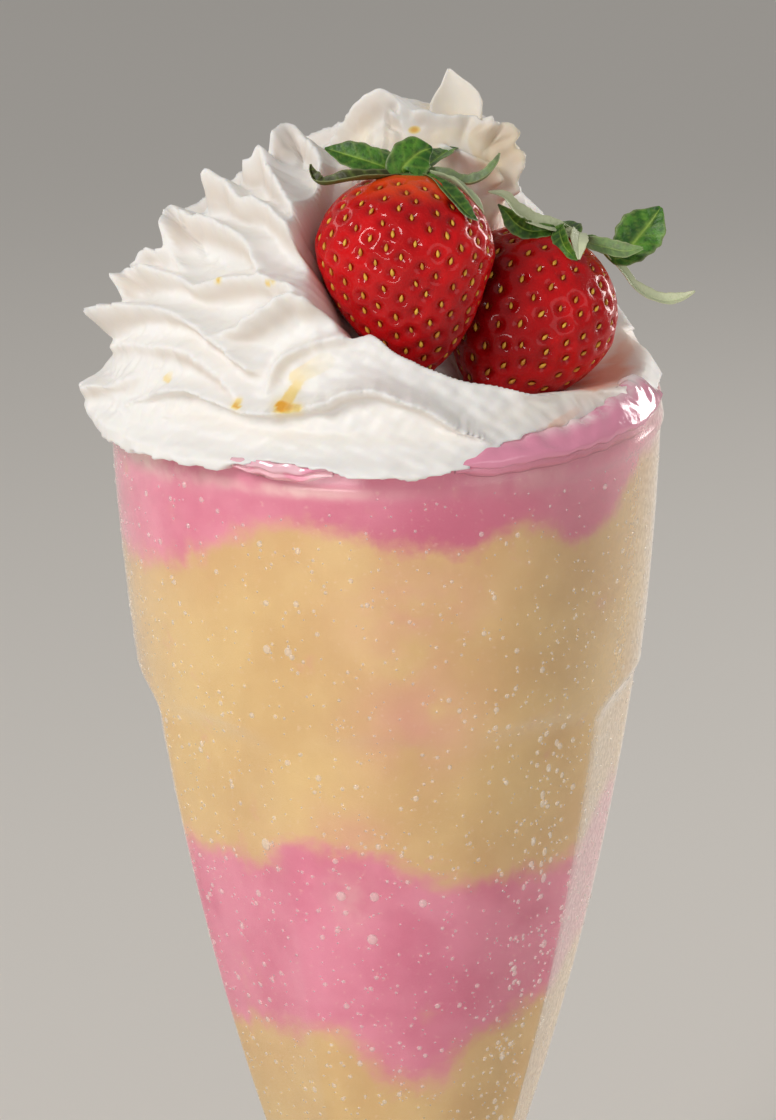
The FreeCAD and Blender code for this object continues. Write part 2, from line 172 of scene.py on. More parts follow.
def around(bearing, table):
    """A value that runs smoothly round the drink through (bearing, value) pairs."""
    keys, vals = np.array(sorted(table), float).T
    keys = np.concatenate([keys[-2:] - 360, keys, keys[:2] + 360])
    vals = np.concatenate([vals[-2:], vals, vals[:2]])
    slope = np.gradient(vals, keys)
    where = (np.asarray(bearing, float) + 180) % 360 - 180
    i = np.clip(np.searchsorted(keys, where) - 1, 0, len(keys) - 2)
    span = keys[i + 1] - keys[i]
    t = (where - keys[i]) / span
    ahead = 3 * t ** 2 - 2 * t ** 3
    start, end = t ** 3 - 2 * t ** 2 + t, t ** 3 - t ** 2
    return vals[i] + (vals[i + 1] - vals[i]) * ahead + span * (slope[i] * start + slope[i + 1] * end)


def spline(points, count):
    """Even steps on a smooth curve through points of any width."""
    points = np.asarray(points, float)
    steps = np.linspace(0, len(points) - 1.0001, count)
    i = steps.astype(int)
    t = (steps - i)[:, None]
    a, b, c, d = (points[np.clip(i + k, 0, len(points) - 1)] for k in (-1, 0, 1, 2))
    bend, twist = 2 * a - 5 * b + 4 * c - d, 3 * b - a - 3 * c + d
    return 0.5 * (2 * b + (c - a) * t + bend * t ** 2 + twist * t ** 3)


def resampled(table, rows):
    """The columns of a table at even steps along its rows."""
    table = np.array(table, float)
    steps = np.linspace(0, len(table) - 1, rows)
    return [np.interp(steps, np.arange(len(table)), column) for column in table.T]


class Waves:
    """Smooth noise in space: a sum of plane waves."""

    def __init__(self, length, seed, count=14):
        pick = np.random.default_rng(seed)
        way = unit(pick.normal(size=(count, 3)))
        self.waves = way * (2 * math.pi / (length * pick.uniform(0.6, 1.7, (count, 1))))
        self.phase = pick.uniform(0, 2 * math.pi, count)
        self.share = math.sqrt(2.0 / count)

    def at(self, points):
        return np.sin(points @ self.waves.T + self.phase).sum(-1) * self.share


# ---------------------------------------------------------------- materials

def linear(value):
    """One channel of a colour, 0 to 255 as it is read on a screen, in linear light."""
    value /= 255.0
    return value / 12.92 if value <= 0.04045 else ((value + 0.055) / 1.055) ** 2.4


class Paint:
    """A material's nodes in short calls. Colours are as read on a screen, 0 to 255."""

    def __init__(self, name):
        self.material = bpy.data.materials.new(name)
        self.material.use_nodes = True
        self.tree = self.material.node_tree
        self.tree.nodes.clear()
        self.out = self.tree.nodes.new("ShaderNodeOutputMaterial")

    def put(self, value, socket):
        if isinstance(value, bpy.types.NodeSocket):
            self.tree.links.new(value, socket)
        elif socket.type == "RGBA":
            socket.default_value = [linear(channel) for channel in value] + [1.0]
        else:
            socket.default_value = value

    def node(self, kind, inputs=None, output=0, **settings):
        """The output of a new node."""
        node = self.tree.nodes.new("ShaderNode" + kind)
        for key, value in settings.items():
            setattr(node, key, value)
        for key, value in (inputs or {}).items():
            self.put(value, node.inputs[key])
        return node.outputs[output]

    def math(self, how, *values, clamp=False):
        return self.node("Math", dict(enumerate(values)), operation=how, use_clamp=clamp)

    def times(self, a, b, clamp=False):
        return self.math("MULTIPLY", a, b, clamp=clamp)

    def value(self, name):
        return self.node("Attribute", output="Fac", attribute_name=name)

    def noise(self, length, detail=3.0, rough=0.5, where=None):
        """Noise with features about this many millimetres long."""
        where = where or self.node("TexCoord", output="Object")
        inputs = {"Vector": where, "Scale": 1.0 / (length * MM), "Detail": detail, "Roughness": rough}
        return self.node("TexNoise", inputs, "Fac")

    def fit(self, value, low, high, to_low=0.0, to_high=1.0):
        inputs = {"Value": value, "From Min": low, "From Max": high, "To Min": to_low, "To Max": to_high}
        return self.node("MapRange", inputs, "Result", interpolation_type="SMOOTHSTEP")

    def cloud(self, length, low, high, detail=3.0, rough=0.5, to=1.0, where=None):
        """Noise with low brought to 0 and high to 1 or another number."""
        return self.fit(self.noise(length, detail, rough, where), low, high, 0.0, to)

    def mix(self, share, a, b):
        return self.node("Mix", {0: share, 6: a, 7: b}, 2, data_type="RGBA")

    def layers(self, colour, *coats):
        """A colour under coats of (share, colour)."""
        for share, coat in coats:
            colour = self.mix(share, colour, coat)
        return colour

    def bump(self, distance, strength, *noise):
        inputs = {"Height": self.noise(*noise), "Distance": distance * MM, "Strength": strength}
        return self.node("Bump", inputs, "Normal")

    def blend(self, share, a, b):
        return self.finish(self.node("MixShader", {0: share, 1: a, 2: b}))

    def surface(self, colour, rough, bump=None, **more):
        """The usual shader. The words in more are its sockets, with _ for a space."""
        inputs = {"Base Color": colour, "Roughness": rough}
        if bump:
            inputs["Normal"] = bump
        inputs.update({key.replace("_", " "): value for key, value in more.items()})
        return self.finish(self.node("BsdfPrincipled", inputs))

    def finish(self, shader):
        """Shows a shader, and gives it back for a shader over it."""
        self.tree.links.new(shader, self.out.inputs["Surface"])
        return shader


def glass_paint():
    """Clear glass under a thin even mist that shows where it is seen at a slant."""
    p = Paint("glass_misted")
    clear = p.surface((250, 250, 248), p.math("MULTIPLY_ADD", p.value("bowl"), 0.17, 0.02),
                      p.bump(0.03, 0.3, 1.3, 2.0), IOR=1.48, Transmission_Weight=1.0)
    slant = p.math("POWER", p.node("LayerWeight", {"Blend": 0.28}, "Facing"), 2.2)
    film = p.times(slant, p.fit(p.noise(0.9, 2.0), 0.3, 0.75, 0.38, 0.62))
    film = p.times(p.math("ADD", film, 0.035), p.value("mist"), clamp=True)
    seen = p.blend(film, clear, p.node("BsdfDiffuse", {"Color": (246, 240, 233)}))
    p.blend(p.node("LightPath", output="Is Shadow Ray"), seen,
            p.node("BsdfTransparent", {"Color": (246, 246, 245)}))
    return p.material


def drop_paint():
    """Water drops: what is behind them shows, under a small bright shine and a white base that is a painted
    highlight.
    """
    p = Paint("water_drop")
    # The white base makes each drop a pale dot: painted highlight.
    wet = p.surface(p.mix(p.noise(2.0, 1.0), (255, 252, 246), (252, 246, 240)), 0.12,
                    p.bump(0.02, 0.2, 0.5, 1.0), Specular_IOR_Level=0.9)
    slant = p.node("LayerWeight", {"Blend": 0.35}, "Fresnel")
    share = p.math("MULTIPLY_ADD", slant, 0.5, 0.34, clamp=True)
    for kind, hidden in (("NewGeometry", "Backfacing"), ("LightPath", "Is Shadow Ray")):
        share = p.times(share, p.math("SUBTRACT", 1.0, p.node(kind, output=hidden)))
    p.blend(share, p.node("BsdfTransparent", {"Color": (253, 251, 248)}), wet)
    return p.material


def shake_paint(name):
    """Condensed milk shake that runs into strawberry shake by the point value 'pink'."""
    p = Paint(name)
    share = p.value("pink")
    for length, detail, rough, ragged in ((9.0, 4.0, 0.55, 1.3), (2.2, 3.0, 0.6, 0.5)):
        noise = p.math("SUBTRACT", p.noise(length, detail, rough), 0.5)
        share = p.math("MULTIPLY_ADD", noise, ragged, share)
    blush = p.times(p.value("blush"), p.cloud(9.0, 0.2, 0.6))
    share = p.math("MAXIMUM", p.fit(share, 0.12, 0.88), blush)
    milk = p.mix(p.cloud(14.0, 0.35, 0.7), (229, 198, 139), (219, 183, 125))
    berry = p.mix(p.cloud(11.0, 0.35, 0.68), (236, 148, 174), (224, 125, 155))
    froth = p.cloud(0.7, 0.66, 0.76, 1.0, to=0.22)
    colour = p.layers(milk, (share, p.mix(p.value("deep"), berry, (204, 98, 132))),
                      (p.times(p.value("pale"), p.cloud(5.0, 0.3, 0.6)), (248, 222, 214)),
                      (froth, (247, 225, 205)))
    p.surface(colour, 0.45, p.bump(0.12, 0.5, 1.6), Specular_IOR_Level=0.25)
    return p.material


def cream_paint():
    """Whipped cream: white, with painted warm shade in its hollows and painted grey shade under its crests,
    and a satin shine.
    """
    p = Paint("whipped_cream")
    honey = p.value("honey")
    # The first two coats are painted shade: warm in the hollows, grey in the folds under the crests.
    colour = p.layers((249, 246, 242),
                      (p.times(p.value("hollow"), p.fit(p.noise(7.0), 0.3, 0.7, 0.5, 1.0)), (240, 220, 184)),
                      (p.times(p.value("fold"), 0.5), (208, 190, 170)),
                      (p.fit(honey, 0.05, 0.5), (248, 222, 150)),
                      (p.fit(honey, 0.45, 0.95), (238, 172, 52)),
                      # Painted red bounce light beside the berries, then deep red painted shadow with juice
                      # in the gap between them.
                      (p.value("blush"), (238, 182, 154)), (p.value("juice"), (112, 16, 20)))
    p.surface(colour, 0.48, p.bump(0.22, 0.55, 2.6, 3.0, 0.45), Specular_IOR_Level=0.36,
              Subsurface_Weight=0.2, Subsurface_Radius=(1.0, 0.72, 0.45), Subsurface_Scale=0.0025)
    return p.material


def smear_paint():
    """Strawberry shake run over the rim, streaked with melted cream, wet."""
    p = Paint("rim_smear")
    streak = p.node("Mapping", {"Vector": p.node("TexCoord", output="Object"), "Scale": (1.0, 1.0, 2.4)})
    white = p.times(p.cloud(5.0, 0.34, 0.54, 4.0, 0.55, where=streak), p.value("cream"), clamp=True)
    p.surface(p.mix(white, (238, 152, 180), (252, 240, 238)), 0.16, p.bump(0.2, 0.6, 1.8),
              Coat_Weight=0.6, Coat_Roughness=0.08)
    return p.material


def berry_paint():
    """Ripe strawberry skin, more orange at its shoulder, with painted shade in its pits, beside the other
    berry and towards its bottom.
    """
    p = Paint("strawberry_skin")
    veins = p.cloud(1.4, 0.56, 0.72, rough=0.65, to=0.3)
    colour = p.layers((218, 12, 18), (p.cloud(8.0, 0.3, 0.7), (182, 7, 14)),
                      (p.value("shoulder"), (246, 88, 28)), (p.value("pit"), (130, 10, 18)),
                      (veins, (228, 44, 36)), (p.value("shade"), (76, 3, 8)))
    p.surface(colour, 0.32, p.bump(0.28, 0.9, 0.9, 4.0, 0.65), Specular_IOR_Level=0.06,
              Subsurface_Weight=0.05, Subsurface_Radius=(1.0, 0.25, 0.15), Subsurface_Scale=0.002,
              Coat_Weight=0.48, Coat_Roughness=0.05)
    return p.material


def seed_paint():
    p = Paint("strawberry_seed")
    p.surface(p.mix(p.cloud(3.0, 0.35, 0.65, 2.0), (238, 188, 64), (200, 132, 40)), 0.35,
              p.bump(0.05, 0.5, 0.4, 2.0))
    return p.material


def leaf_paint():
    """Strawberry leaves: green above with paler veins, greyer and hairy below."""
    p = Paint("strawberry_leaf")
    colour = p.layers((84, 142, 42), (p.cloud(3.0, 0.3, 0.7, 4.0), (38, 84, 26)),
                      (p.cloud(0.9, 0.5, 0.62, 2.0, 0.6, 0.45), (24, 58, 18)),
                      (p.times(p.value("dry"), 0.85), (66, 58, 28)),
                      (p.times(p.value("vein"), 0.75), (158, 190, 78)),
                      (p.times(p.value("under"), 0.3), (112, 138, 72)),
                      (p.value("pale"), (222, 227, 192)), (p.times(p.value("hem"), 0.45), (196, 200, 148)))
    p.surface(colour, 0.42, p.bump(0.2, 0.9, 0.8), Specular_IOR_Level=0.4)
    return p.material


def floor_paint():
    p = Paint("floor_plain")
    p.surface(p.mix(p.noise(400.0, 1.0), (226, 222, 216), (232, 228, 222)), 0.8, Specular_IOR_Level=0.1)
    return p.material


# ---------------------------------------------------------------- glass

# The frame's glass: its bowl ends at a plain band under the rim.
BAND_Z, BAND_R = 147.0, 41.2
STEM_Z, STEM_R = 38.0, 13.5
LIP = 1.3
FLOOR_Z, FLOOR_R, FLOOR_LOW, FLOOR_ARC = 51.0, 12.0, 43.0, 14
INNER_R = BAND_R - 4.4
SIDE_ARC = 520
FLUTES, FLUTE_TURN, FLUTE_DEPTH = 9, -16.0, 1.9
RUNOUT, RUNOUT_END, NO_FLUTE = 9, 7.79, 200.0
INTO_WALL = 0.15


def arc_centre(start, end, radius, side=1):
    """Middle of an arc between two points, to the left of the way between them for side 1."""
    (x0, z0), (x1, z1) = start, end
    length = math.hypot(x1 - x0, z1 - z0)
    height = math.sqrt(max(radius ** 2 - (length / 2) ** 2, 0.0)) * side
    return ((x0 + x1) / 2 - (z1 - z0) / length * height,
            (z0 + z1) / 2 + (x1 - x0) / length * height)


def arc_x(z, low, high, radius=SIDE_ARC):
    """Distance from the axis on the arc that bulges outward between two points."""
    cx, cz = arc_centre(low, high, radius)
    return cx + np.sqrt(np.maximum(radius ** 2 - (z - cz) ** 2, 0.0))


def ring_arc(start, end, radius, side, count):
    """Points from start to end, without the end, on an arc with its middle on that side."""
    cx, cz = arc_centre(start, end, radius, side)
    first, last = (math.atan2(z - cz, x - cx) for x, z in (start, end))
    turn = (last - first + math.pi) % (2 * math.pi) - math.pi
    ways = [first + turn * i / count for i in range(count)]
    return [(cx + radius * math.cos(a), cz + radius * math.sin(a)) for a in ways]


def outer_round(z):
    """Outside of the bowl and band before the flutes."""
    bowl = arc_x(z, (STEM_R, STEM_Z), (BAND_R, BAND_Z))
    return np.where(z < BAND_Z, bowl, arc_x(z, (BAND_R, BAND_Z), (RIM_RADIUS, RIM - LIP)))


def inner_round(z):
    """Inside of the bowl and band."""
    bowl = arc_x(z, (FLOOR_R, FLOOR_Z), (INNER_R, BAND_Z))
    band = arc_x(z, (INNER_R, BAND_Z), (RIM_RADIUS - 2 * LIP, RIM - LIP))
    low = arc_x(z, (0.0, FLOOR_LOW), (FLOOR_R, FLOOR_Z), FLOOR_ARC)
    return np.where(z < FLOOR_Z, low, np.where(z < BAND_Z, bowl, band))


def panel_x(z):
    """Distance of a flat panel from the axis, with its runouts at both ends."""
    slope = (BAND_R - STEM_R) / (BAND_Z - STEM_Z)
    low = (STEM_R + 5 * slope - FLUTE_DEPTH, STEM_Z + 5)
    high = (BAND_R - 4 * slope - FLUTE_DEPTH, BAND_Z - 4)
    past = np.maximum(np.maximum(low[1] - z, z - high[1]), 0.0)
    run = RUNOUT - np.sqrt(np.maximum(RUNOUT ** 2 - past ** 2, 0.0))
    return np.where(past > RUNOUT_END, NO_FLUTE, arc_x(np.clip(z, low[1], high[1]), low, high) + run)


def outer_surface(z, turn):
    """Outside of the glass at a height and a turn in radians, with the bead under its rim."""
    off = (np.degrees(turn) - FLUTE_TURN + 180 / FLUTES) % (360 / FLUTES) - 180 / FLUTES
    bead = 0.5 * bell(z - RIM + 4.2, 0.95)
    return soft_min(outer_round(z), panel_x(z) / np.cos(np.radians(off)), 1.3) + bead


def make_glass():
    foot = [(x, 0.0) for x in np.linspace(4, 34, 7)]
    foot += ring_arc((34.7, 0), (36.5, 1.8), 1.8, 1, 5) + [(36.5, 1.8), (36.5, 3.2)]
    foot += ring_arc((36.5, 3.2), (34.7, 5), 1.8, 1, 5)[1:]
    foot += ring_arc((34.7, 5), (12, 21), 32, -1, 18) + ring_arc((12, 21), (12, 30), 5.6, 1, 12)
    foot += [(12 + 1.5 * s, 30 + 8 * s) for s in (0, 0.25, 0.5, 0.75)]
    side = np.append(np.linspace(STEM_Z, BAND_Z, 112), np.linspace(BAND_Z, RIM - LIP, 46)[1:])
    top = (RIM_RADIUS - LIP, RIM)
    lip = ring_arc((RIM_RADIUS, RIM - LIP), top, LIP, 1, 5)[1:]
    inside = np.append(np.linspace(RIM - LIP, BAND_Z, 20), np.linspace(BAND_Z, FLOOR_Z, 36)[1:])
    rows = foot + [(0.0, z) for z in side] + lip
    rows += ring_arc(top, (RIM_RADIUS - 2 * LIP, RIM - LIP), LIP, 1, 6) + [*zip(inner_round(inside), inside)]
    rows += ring_arc((FLOOR_R, FLOOR_Z), (0.0, FLOOR_LOW), FLOOR_ARC, -1, 8)[1:]
    turn = full_turn(288)
    grid = lathe(rows, len(turn))
    end = len(foot) + len(side)
    grid[len(foot):end] = turned(outer_surface(side[:, None], turn), side[:, None], turn)
    outside = np.zeros(grid.shape[:2])
    outside[len(foot):end + len(lip)] = 1.0
    outside *= 1 + 1.5 * smoothstep((grid[..., 0] - 12) / 25)
    bowl = smoothstep((grid[..., 2] - 48) / 25)
    add_mesh("glass_look", *shell(grid, (0, 0, 0), (0, 0, FLOOR_LOW)), glass_paint(), "clear_glass", "glass",
             values={"mist": bowl * outside, "bowl": bowl})


# ---------------------------------------------------------------- drink

# Borders between the bands: (bearing, height from the rim).
BORDERS = {
    "top": [(-85, -24), (-63, -22), (-41, -16.8), (-29, -11), (-12.6, -12.5), (-2, -14.1), (18, -15.1),
        (35, -12.5), (41, -16), (50, -16.6), (60, -12.4), (67.5, -8.8), (100, -10), (150, -18),
        (-150, -15), (-115, -20)],
    "middle": [(-73, -72.8), (-55, -73.3), (-39, -72), (-25, -67.2), (-5, -68.8), (9, -74.6), (26, -74.7),
        (56, -75.3), (70, -72.3), (85, -67), (110, -70), (150, -75), (-150, -70), (-110, -76)],
    "low": [(-62, -105.2), (-45, -104.2), (-25, -102.8), (-12, -108.2), (3, -112.2), (19, -111.2),
        (31, -106), (42, -103.2), (67, -98.6), (100, -95), (150, -103), (-150, -98), (-100, -103)],
}


def border(name, x, y):
    """Height of a border at a point of the drink, level in its middle."""
    table = BORDERS[name]
    mean = sum(v for _, v in table) / len(table)
    return RIM + mean + (around(bearing_of(x, y), table) - mean) * smoothstep(np.hypot(x, y) / 30.0)


def pink_share(points):
    """How much of the shake is strawberry, soft over a few millimetres at each border."""
    x, y, z = points.T

    def above(name, soft):
        return smoothstep((z - border(name, x, y)) / soft * 0.5 + 0.5)

    tongue = 6.0 * bell(bearing_of(x, y) - 2, 20)
    return np.clip(above("top", 5.0) + above("low", 5.5 + tongue) - above("middle", 5.0), 0, 1)


def make_band(node, low, high, paint, slot):
    """One band, its side just inside the wall of the glass, with both its borders."""
    cols, side, disc = 200, 46, 7
    turn = full_turn(cols)

    def level(edge, share):
        radius = np.full(cols, 30.0)
        for _ in range(4):
            x, y, _z = turned(radius, 0, turn).T
            radius = inner_round(edge(x, y)) + INTO_WALL
        x, y, _z = turned(radius * share, 0, turn).T
        return np.stack([x, y, edge(x, y)], -1)

    bottom = [level(low, s) for s in np.linspace(1 / disc, 1, disc)]
    top = [level(high, s) for s in np.linspace(1, 1 / disc, disc)]
    heights = [bottom[-1][:, 2] * (1 - s) + top[0][:, 2] * s for s in np.linspace(0, 1, side)[1:-1]]
    grid = np.stack(bottom + [turned(inner_round(z) + INTO_WALL, z, turn) for z in heights] + top)
    points, faces = shell(grid, (0, 0, grid[0, :, 2].mean()), (0, 0, grid[-1, :, 2].mean()))
    x, y, z = points.T

    def spots(*table):
        return sum(w * bell(bearing_of(x, y) - b, s) * bell(z - h, t) for b, h, s, t, w in table)

    values = {
        "pink": pink_share(points),
        "blush": spots((6, 171, 15, 9, 0.35), (6, 151, 14, 9, 0.42), (-12, 131, 11, 6, 0.3)),
        # pale: whitish patches, among them a painted highlight line under the rim's bead at bearing -20.
        "pale": spots((-62, RIM - 4.2, 17, 2.6, 1.0), (-20, RIM - 4.9, 18, 0.9, 0.7),
                      (32, RIM - 4, 14, 2.5, 0.3), (-12, 119, 7, 5, 0.3)),
        # deep: darker, deeper pink painted as shade at the front of the top pink band, and more faintly in
        # the lower pink band.
        "deep": spots((8, RIM - 13, 26, 7, 0.8), (18, 100, 20, 12, 0.35)),
    }
    add_mesh(node.replace("_band", "_look"), points, faces, paint, slot, node, 40, values)


def make_drink():
    def floor(x, y):
        cx, cz = arc_centre((0.0, FLOOR_LOW), (FLOOR_R, FLOOR_Z), FLOOR_ARC)
        r = np.minimum(np.hypot(x, y), FLOOR_R)
        return cz - np.sqrt(np.maximum((FLOOR_ARC + INTO_WALL) ** 2 - (r - cx) ** 2, 0))

    borders = [lambda x, y, name=name: border(name, x, y) for name in ("low", "middle", "top")]
    edges = [floor, *borders, lambda x, y: np.full(np.shape(x), RIM - 1.0)]
    paints = {slot: shake_paint(slot) for slot in ("milk_shake", "strawberry_shake")}
    for i, node in enumerate(("lower_milk_band", "lower_pink_band", "upper_milk_band", "upper_pink_band")):
        slot = "strawberry_shake" if i % 2 else "milk_shake"
        make_band(node, edges[i], edges[i + 1], paints[slot], slot)


# ---------------------------------------------------------------- strawberries

BERRIES = {
    "left": dict(radius=14.2, length=32.5, flank=1.05, tip=4.4, lean=14.0, roll=3.0, seeds=235, seed=5),
    "right": dict(radius=14.0, length=30.4, flank=0.72, tip=6.0, lean=36.0, roll=36.0, seeds=205, seed=9),
}
LEFT_SPOT = (3.6, -19.5, 28.5)
# The right berry's place from the left one: turn, fall, distance and a small move towards it.
RIGHT_TURN, RIGHT_FALL, APART, NEARER = 33.2, 24.4, 29.5, (-1.5, -0.2, -0.8)
SHOULDER = 0.37
DIMPLE_R, DIMPLE_DEPTH = 3.6, 1.6
GOLDEN_TURN = 2.399963


def berry_frame(side):
    """Origin at the widest point and axes as columns, for a berry."""
    b = BERRIES[side]
    spot = np.array(LEFT_SPOT) + (0, 0, RIM)
    if side == "right":
        spot = spot + direction(RIGHT_TURN + 90, -RIGHT_FALL) * APART + NEARER
    roll, lean = math.radians(b["roll"]), math.radians(b["lean"])
    return spot, np.array(Matrix.Rotation(roll, 3, "Y") @ Matrix.Rotation(-lean, 3, "X"))


def berry_ends(side):
    """Heights of a berry's tip and of its dimple's rim, in its own axes."""
    top = BERRIES[side]["length"] * SHOULDER
    return top - BERRIES[side]["length"], top


def berry_outline(side, count):
    """(radius, height) from the tip to the dimple, even along the outline."""
    b = BERRIES[side]
    tip, top = berry_ends(side)
    turn = math.radians(57)
    low = (b["tip"] * math.sin(turn), tip + b["tip"] * (1 - math.cos(turn)))
    line = ring_arc((0.0, tip), low, b["tip"], 1, 16)
    line += ring_arc(low, (b["radius"], 0.0), b["length"] * b["flank"], 1, 50)
    line += ring_arc((b["radius"], 0.0), (DIMPLE_R, top), b["radius"] * 0.92, 1, 50)
    line += [(DIMPLE_R * (1 - s), top - DIMPLE_DEPTH * smoothstep(s)) for s in np.linspace(0, 1, 12)]
    line = np.array(line)
    steps = np.append(0, np.cumsum(np.hypot(*np.diff(line, axis=0).T)))
    want = np.linspace(0, steps[-1], count)
    return np.stack([np.interp(want, steps, line[:, k]) for k in (0, 1)], -1)


def seed_spots(side):
    """Shares along the outline and turns of the seeds, spiralled round the berry."""
    b = BERRIES[side]
    ring = np.cumsum(berry_outline(side, 400)[:, 0])
    pick = np.random.default_rng(b["seed"])
    spots = []
    for i in range(b["seeds"]):
        along = np.interp((i + 0.6) / (b["seeds"] + 6), ring / ring[-1], np.linspace(0, 1, 400))
        turn = i * GOLDEN_TURN + pick.normal(0, 0.03)
        if along < 0.86:
            spots.append((along + pick.normal(0, 0.004), turn))
    return np.array(spots).T


def berry_point(side, along, turn, step=0.004):
    """Points and outward directions on the smooth berry, in its own axes."""
    line = berry_outline(side, 400)

    def at(share):
        return np.stack([np.interp(share, np.linspace(0, 1, 400), line[:, k]) for k in (0, 1)])

    radius, z = at(along)
    slope_r, slope_z = at(along + step) - at(along - step)
    lumps = 1 + 0.022 * np.sin(2 * turn + 0.6) + 0.018 * np.sin(3 * turn + 2 + 4 * along)
    points = turned(radius * lumps, z, turn)
    if side == "left":
        points[:, 0] += 1.5 * smoothstep((-3 - z) / 15)
    return points, unit(turned(slope_z, -slope_r, turn))


def make_berry(side, skin, seed_skin):
    spot, axes = berry_frame(side)
    rows, cols = 168, 204
    along, turn = np.meshgrid(np.linspace(0.004, 0.997, rows), full_turn(cols), indexing="ij")
    points, out = berry_point(side, along.ravel(), turn.ravel())
    centres, ways = berry_point(side, *seed_spots(side))
    parts = [points[i:i + 6000] for i in range(0, len(points), 6000)]
    near = np.concatenate([np.sqrt(((part[:, None] - centres) ** 2).sum(-1).min(1)) for part in parts])
    # The pits are sunk into the skin and also painted darker as shade.
    pit = bell(near, 0.78)
    points = points + out * (0.3 * smoothstep(near / 1.9) - 0.5 * pit - 0.14)[:, None]
    shoulder = smoothstep((points[:, 2] - berry_ends(side)[1] + 5.0) / 4.5) * 0.8
    points, faces = shell(points.reshape(rows, cols, 3))
    world = points @ axes.T + spot
    # Painted shadow where the other berry comes near, and painted shade towards the bottom.
    other, strong = ("left", 0.97) if side == "right" else ("right", 0.45)
    shade = bell(np.maximum(berry_radius(other, world), 0), 5.0) * strong
    shade = np.maximum(shade, 0.3 * smoothstep((-2 - points[:, 2]) / 16))
    values = {"pit": pit * 0.8, "shoulder": np.append(shoulder, [0, 1]), "shade": shade}
    name = f"{side}_strawberry"
    add_mesh(name + "_look", world, faces, skin, "strawberry", name, values=values)
    make_seeds(side, centres, ways, spot, axes, seed_skin)


def make_seeds(side, centres, ways, spot, axes, seed_skin):
    """The seeds, each a small drop with its point towards the top of the berry."""
    steps = np.linspace(0.12, 0.88, 5)
    line = [(math.sin(math.pi * s) ** 0.8 * (1.12 - 0.45 * s), 1.3 * (s - 0.5)) for s in steps]
    points, faces = shell(lathe(line, 8) * (0.34, 0.3, 1), (0, 0, -0.65), (0, 0, 0.65))
    frames = []
    pick = np.random.default_rng(3)
    for centre, way in zip(centres, ways):
        up = np.array([0.0, 0.0, 1.0]) - way * way[2]
        up = up / max(np.linalg.norm(up), 1e-6)
        tilt = pick.normal(0, 0.18)
        long = up * math.cos(tilt) + np.cross(way, up) * math.sin(tilt)
        axes_here = np.stack([np.cross(way, long), way, long], -1)
        frames.append((centre - way * 0.3, axes_here, pick.uniform(0.85, 1.12)))
    points, faces = copies(points, faces, frames)
    add_mesh(f"{side}_seeds", points @ axes.T + spot, faces, seed_skin, "strawberry")


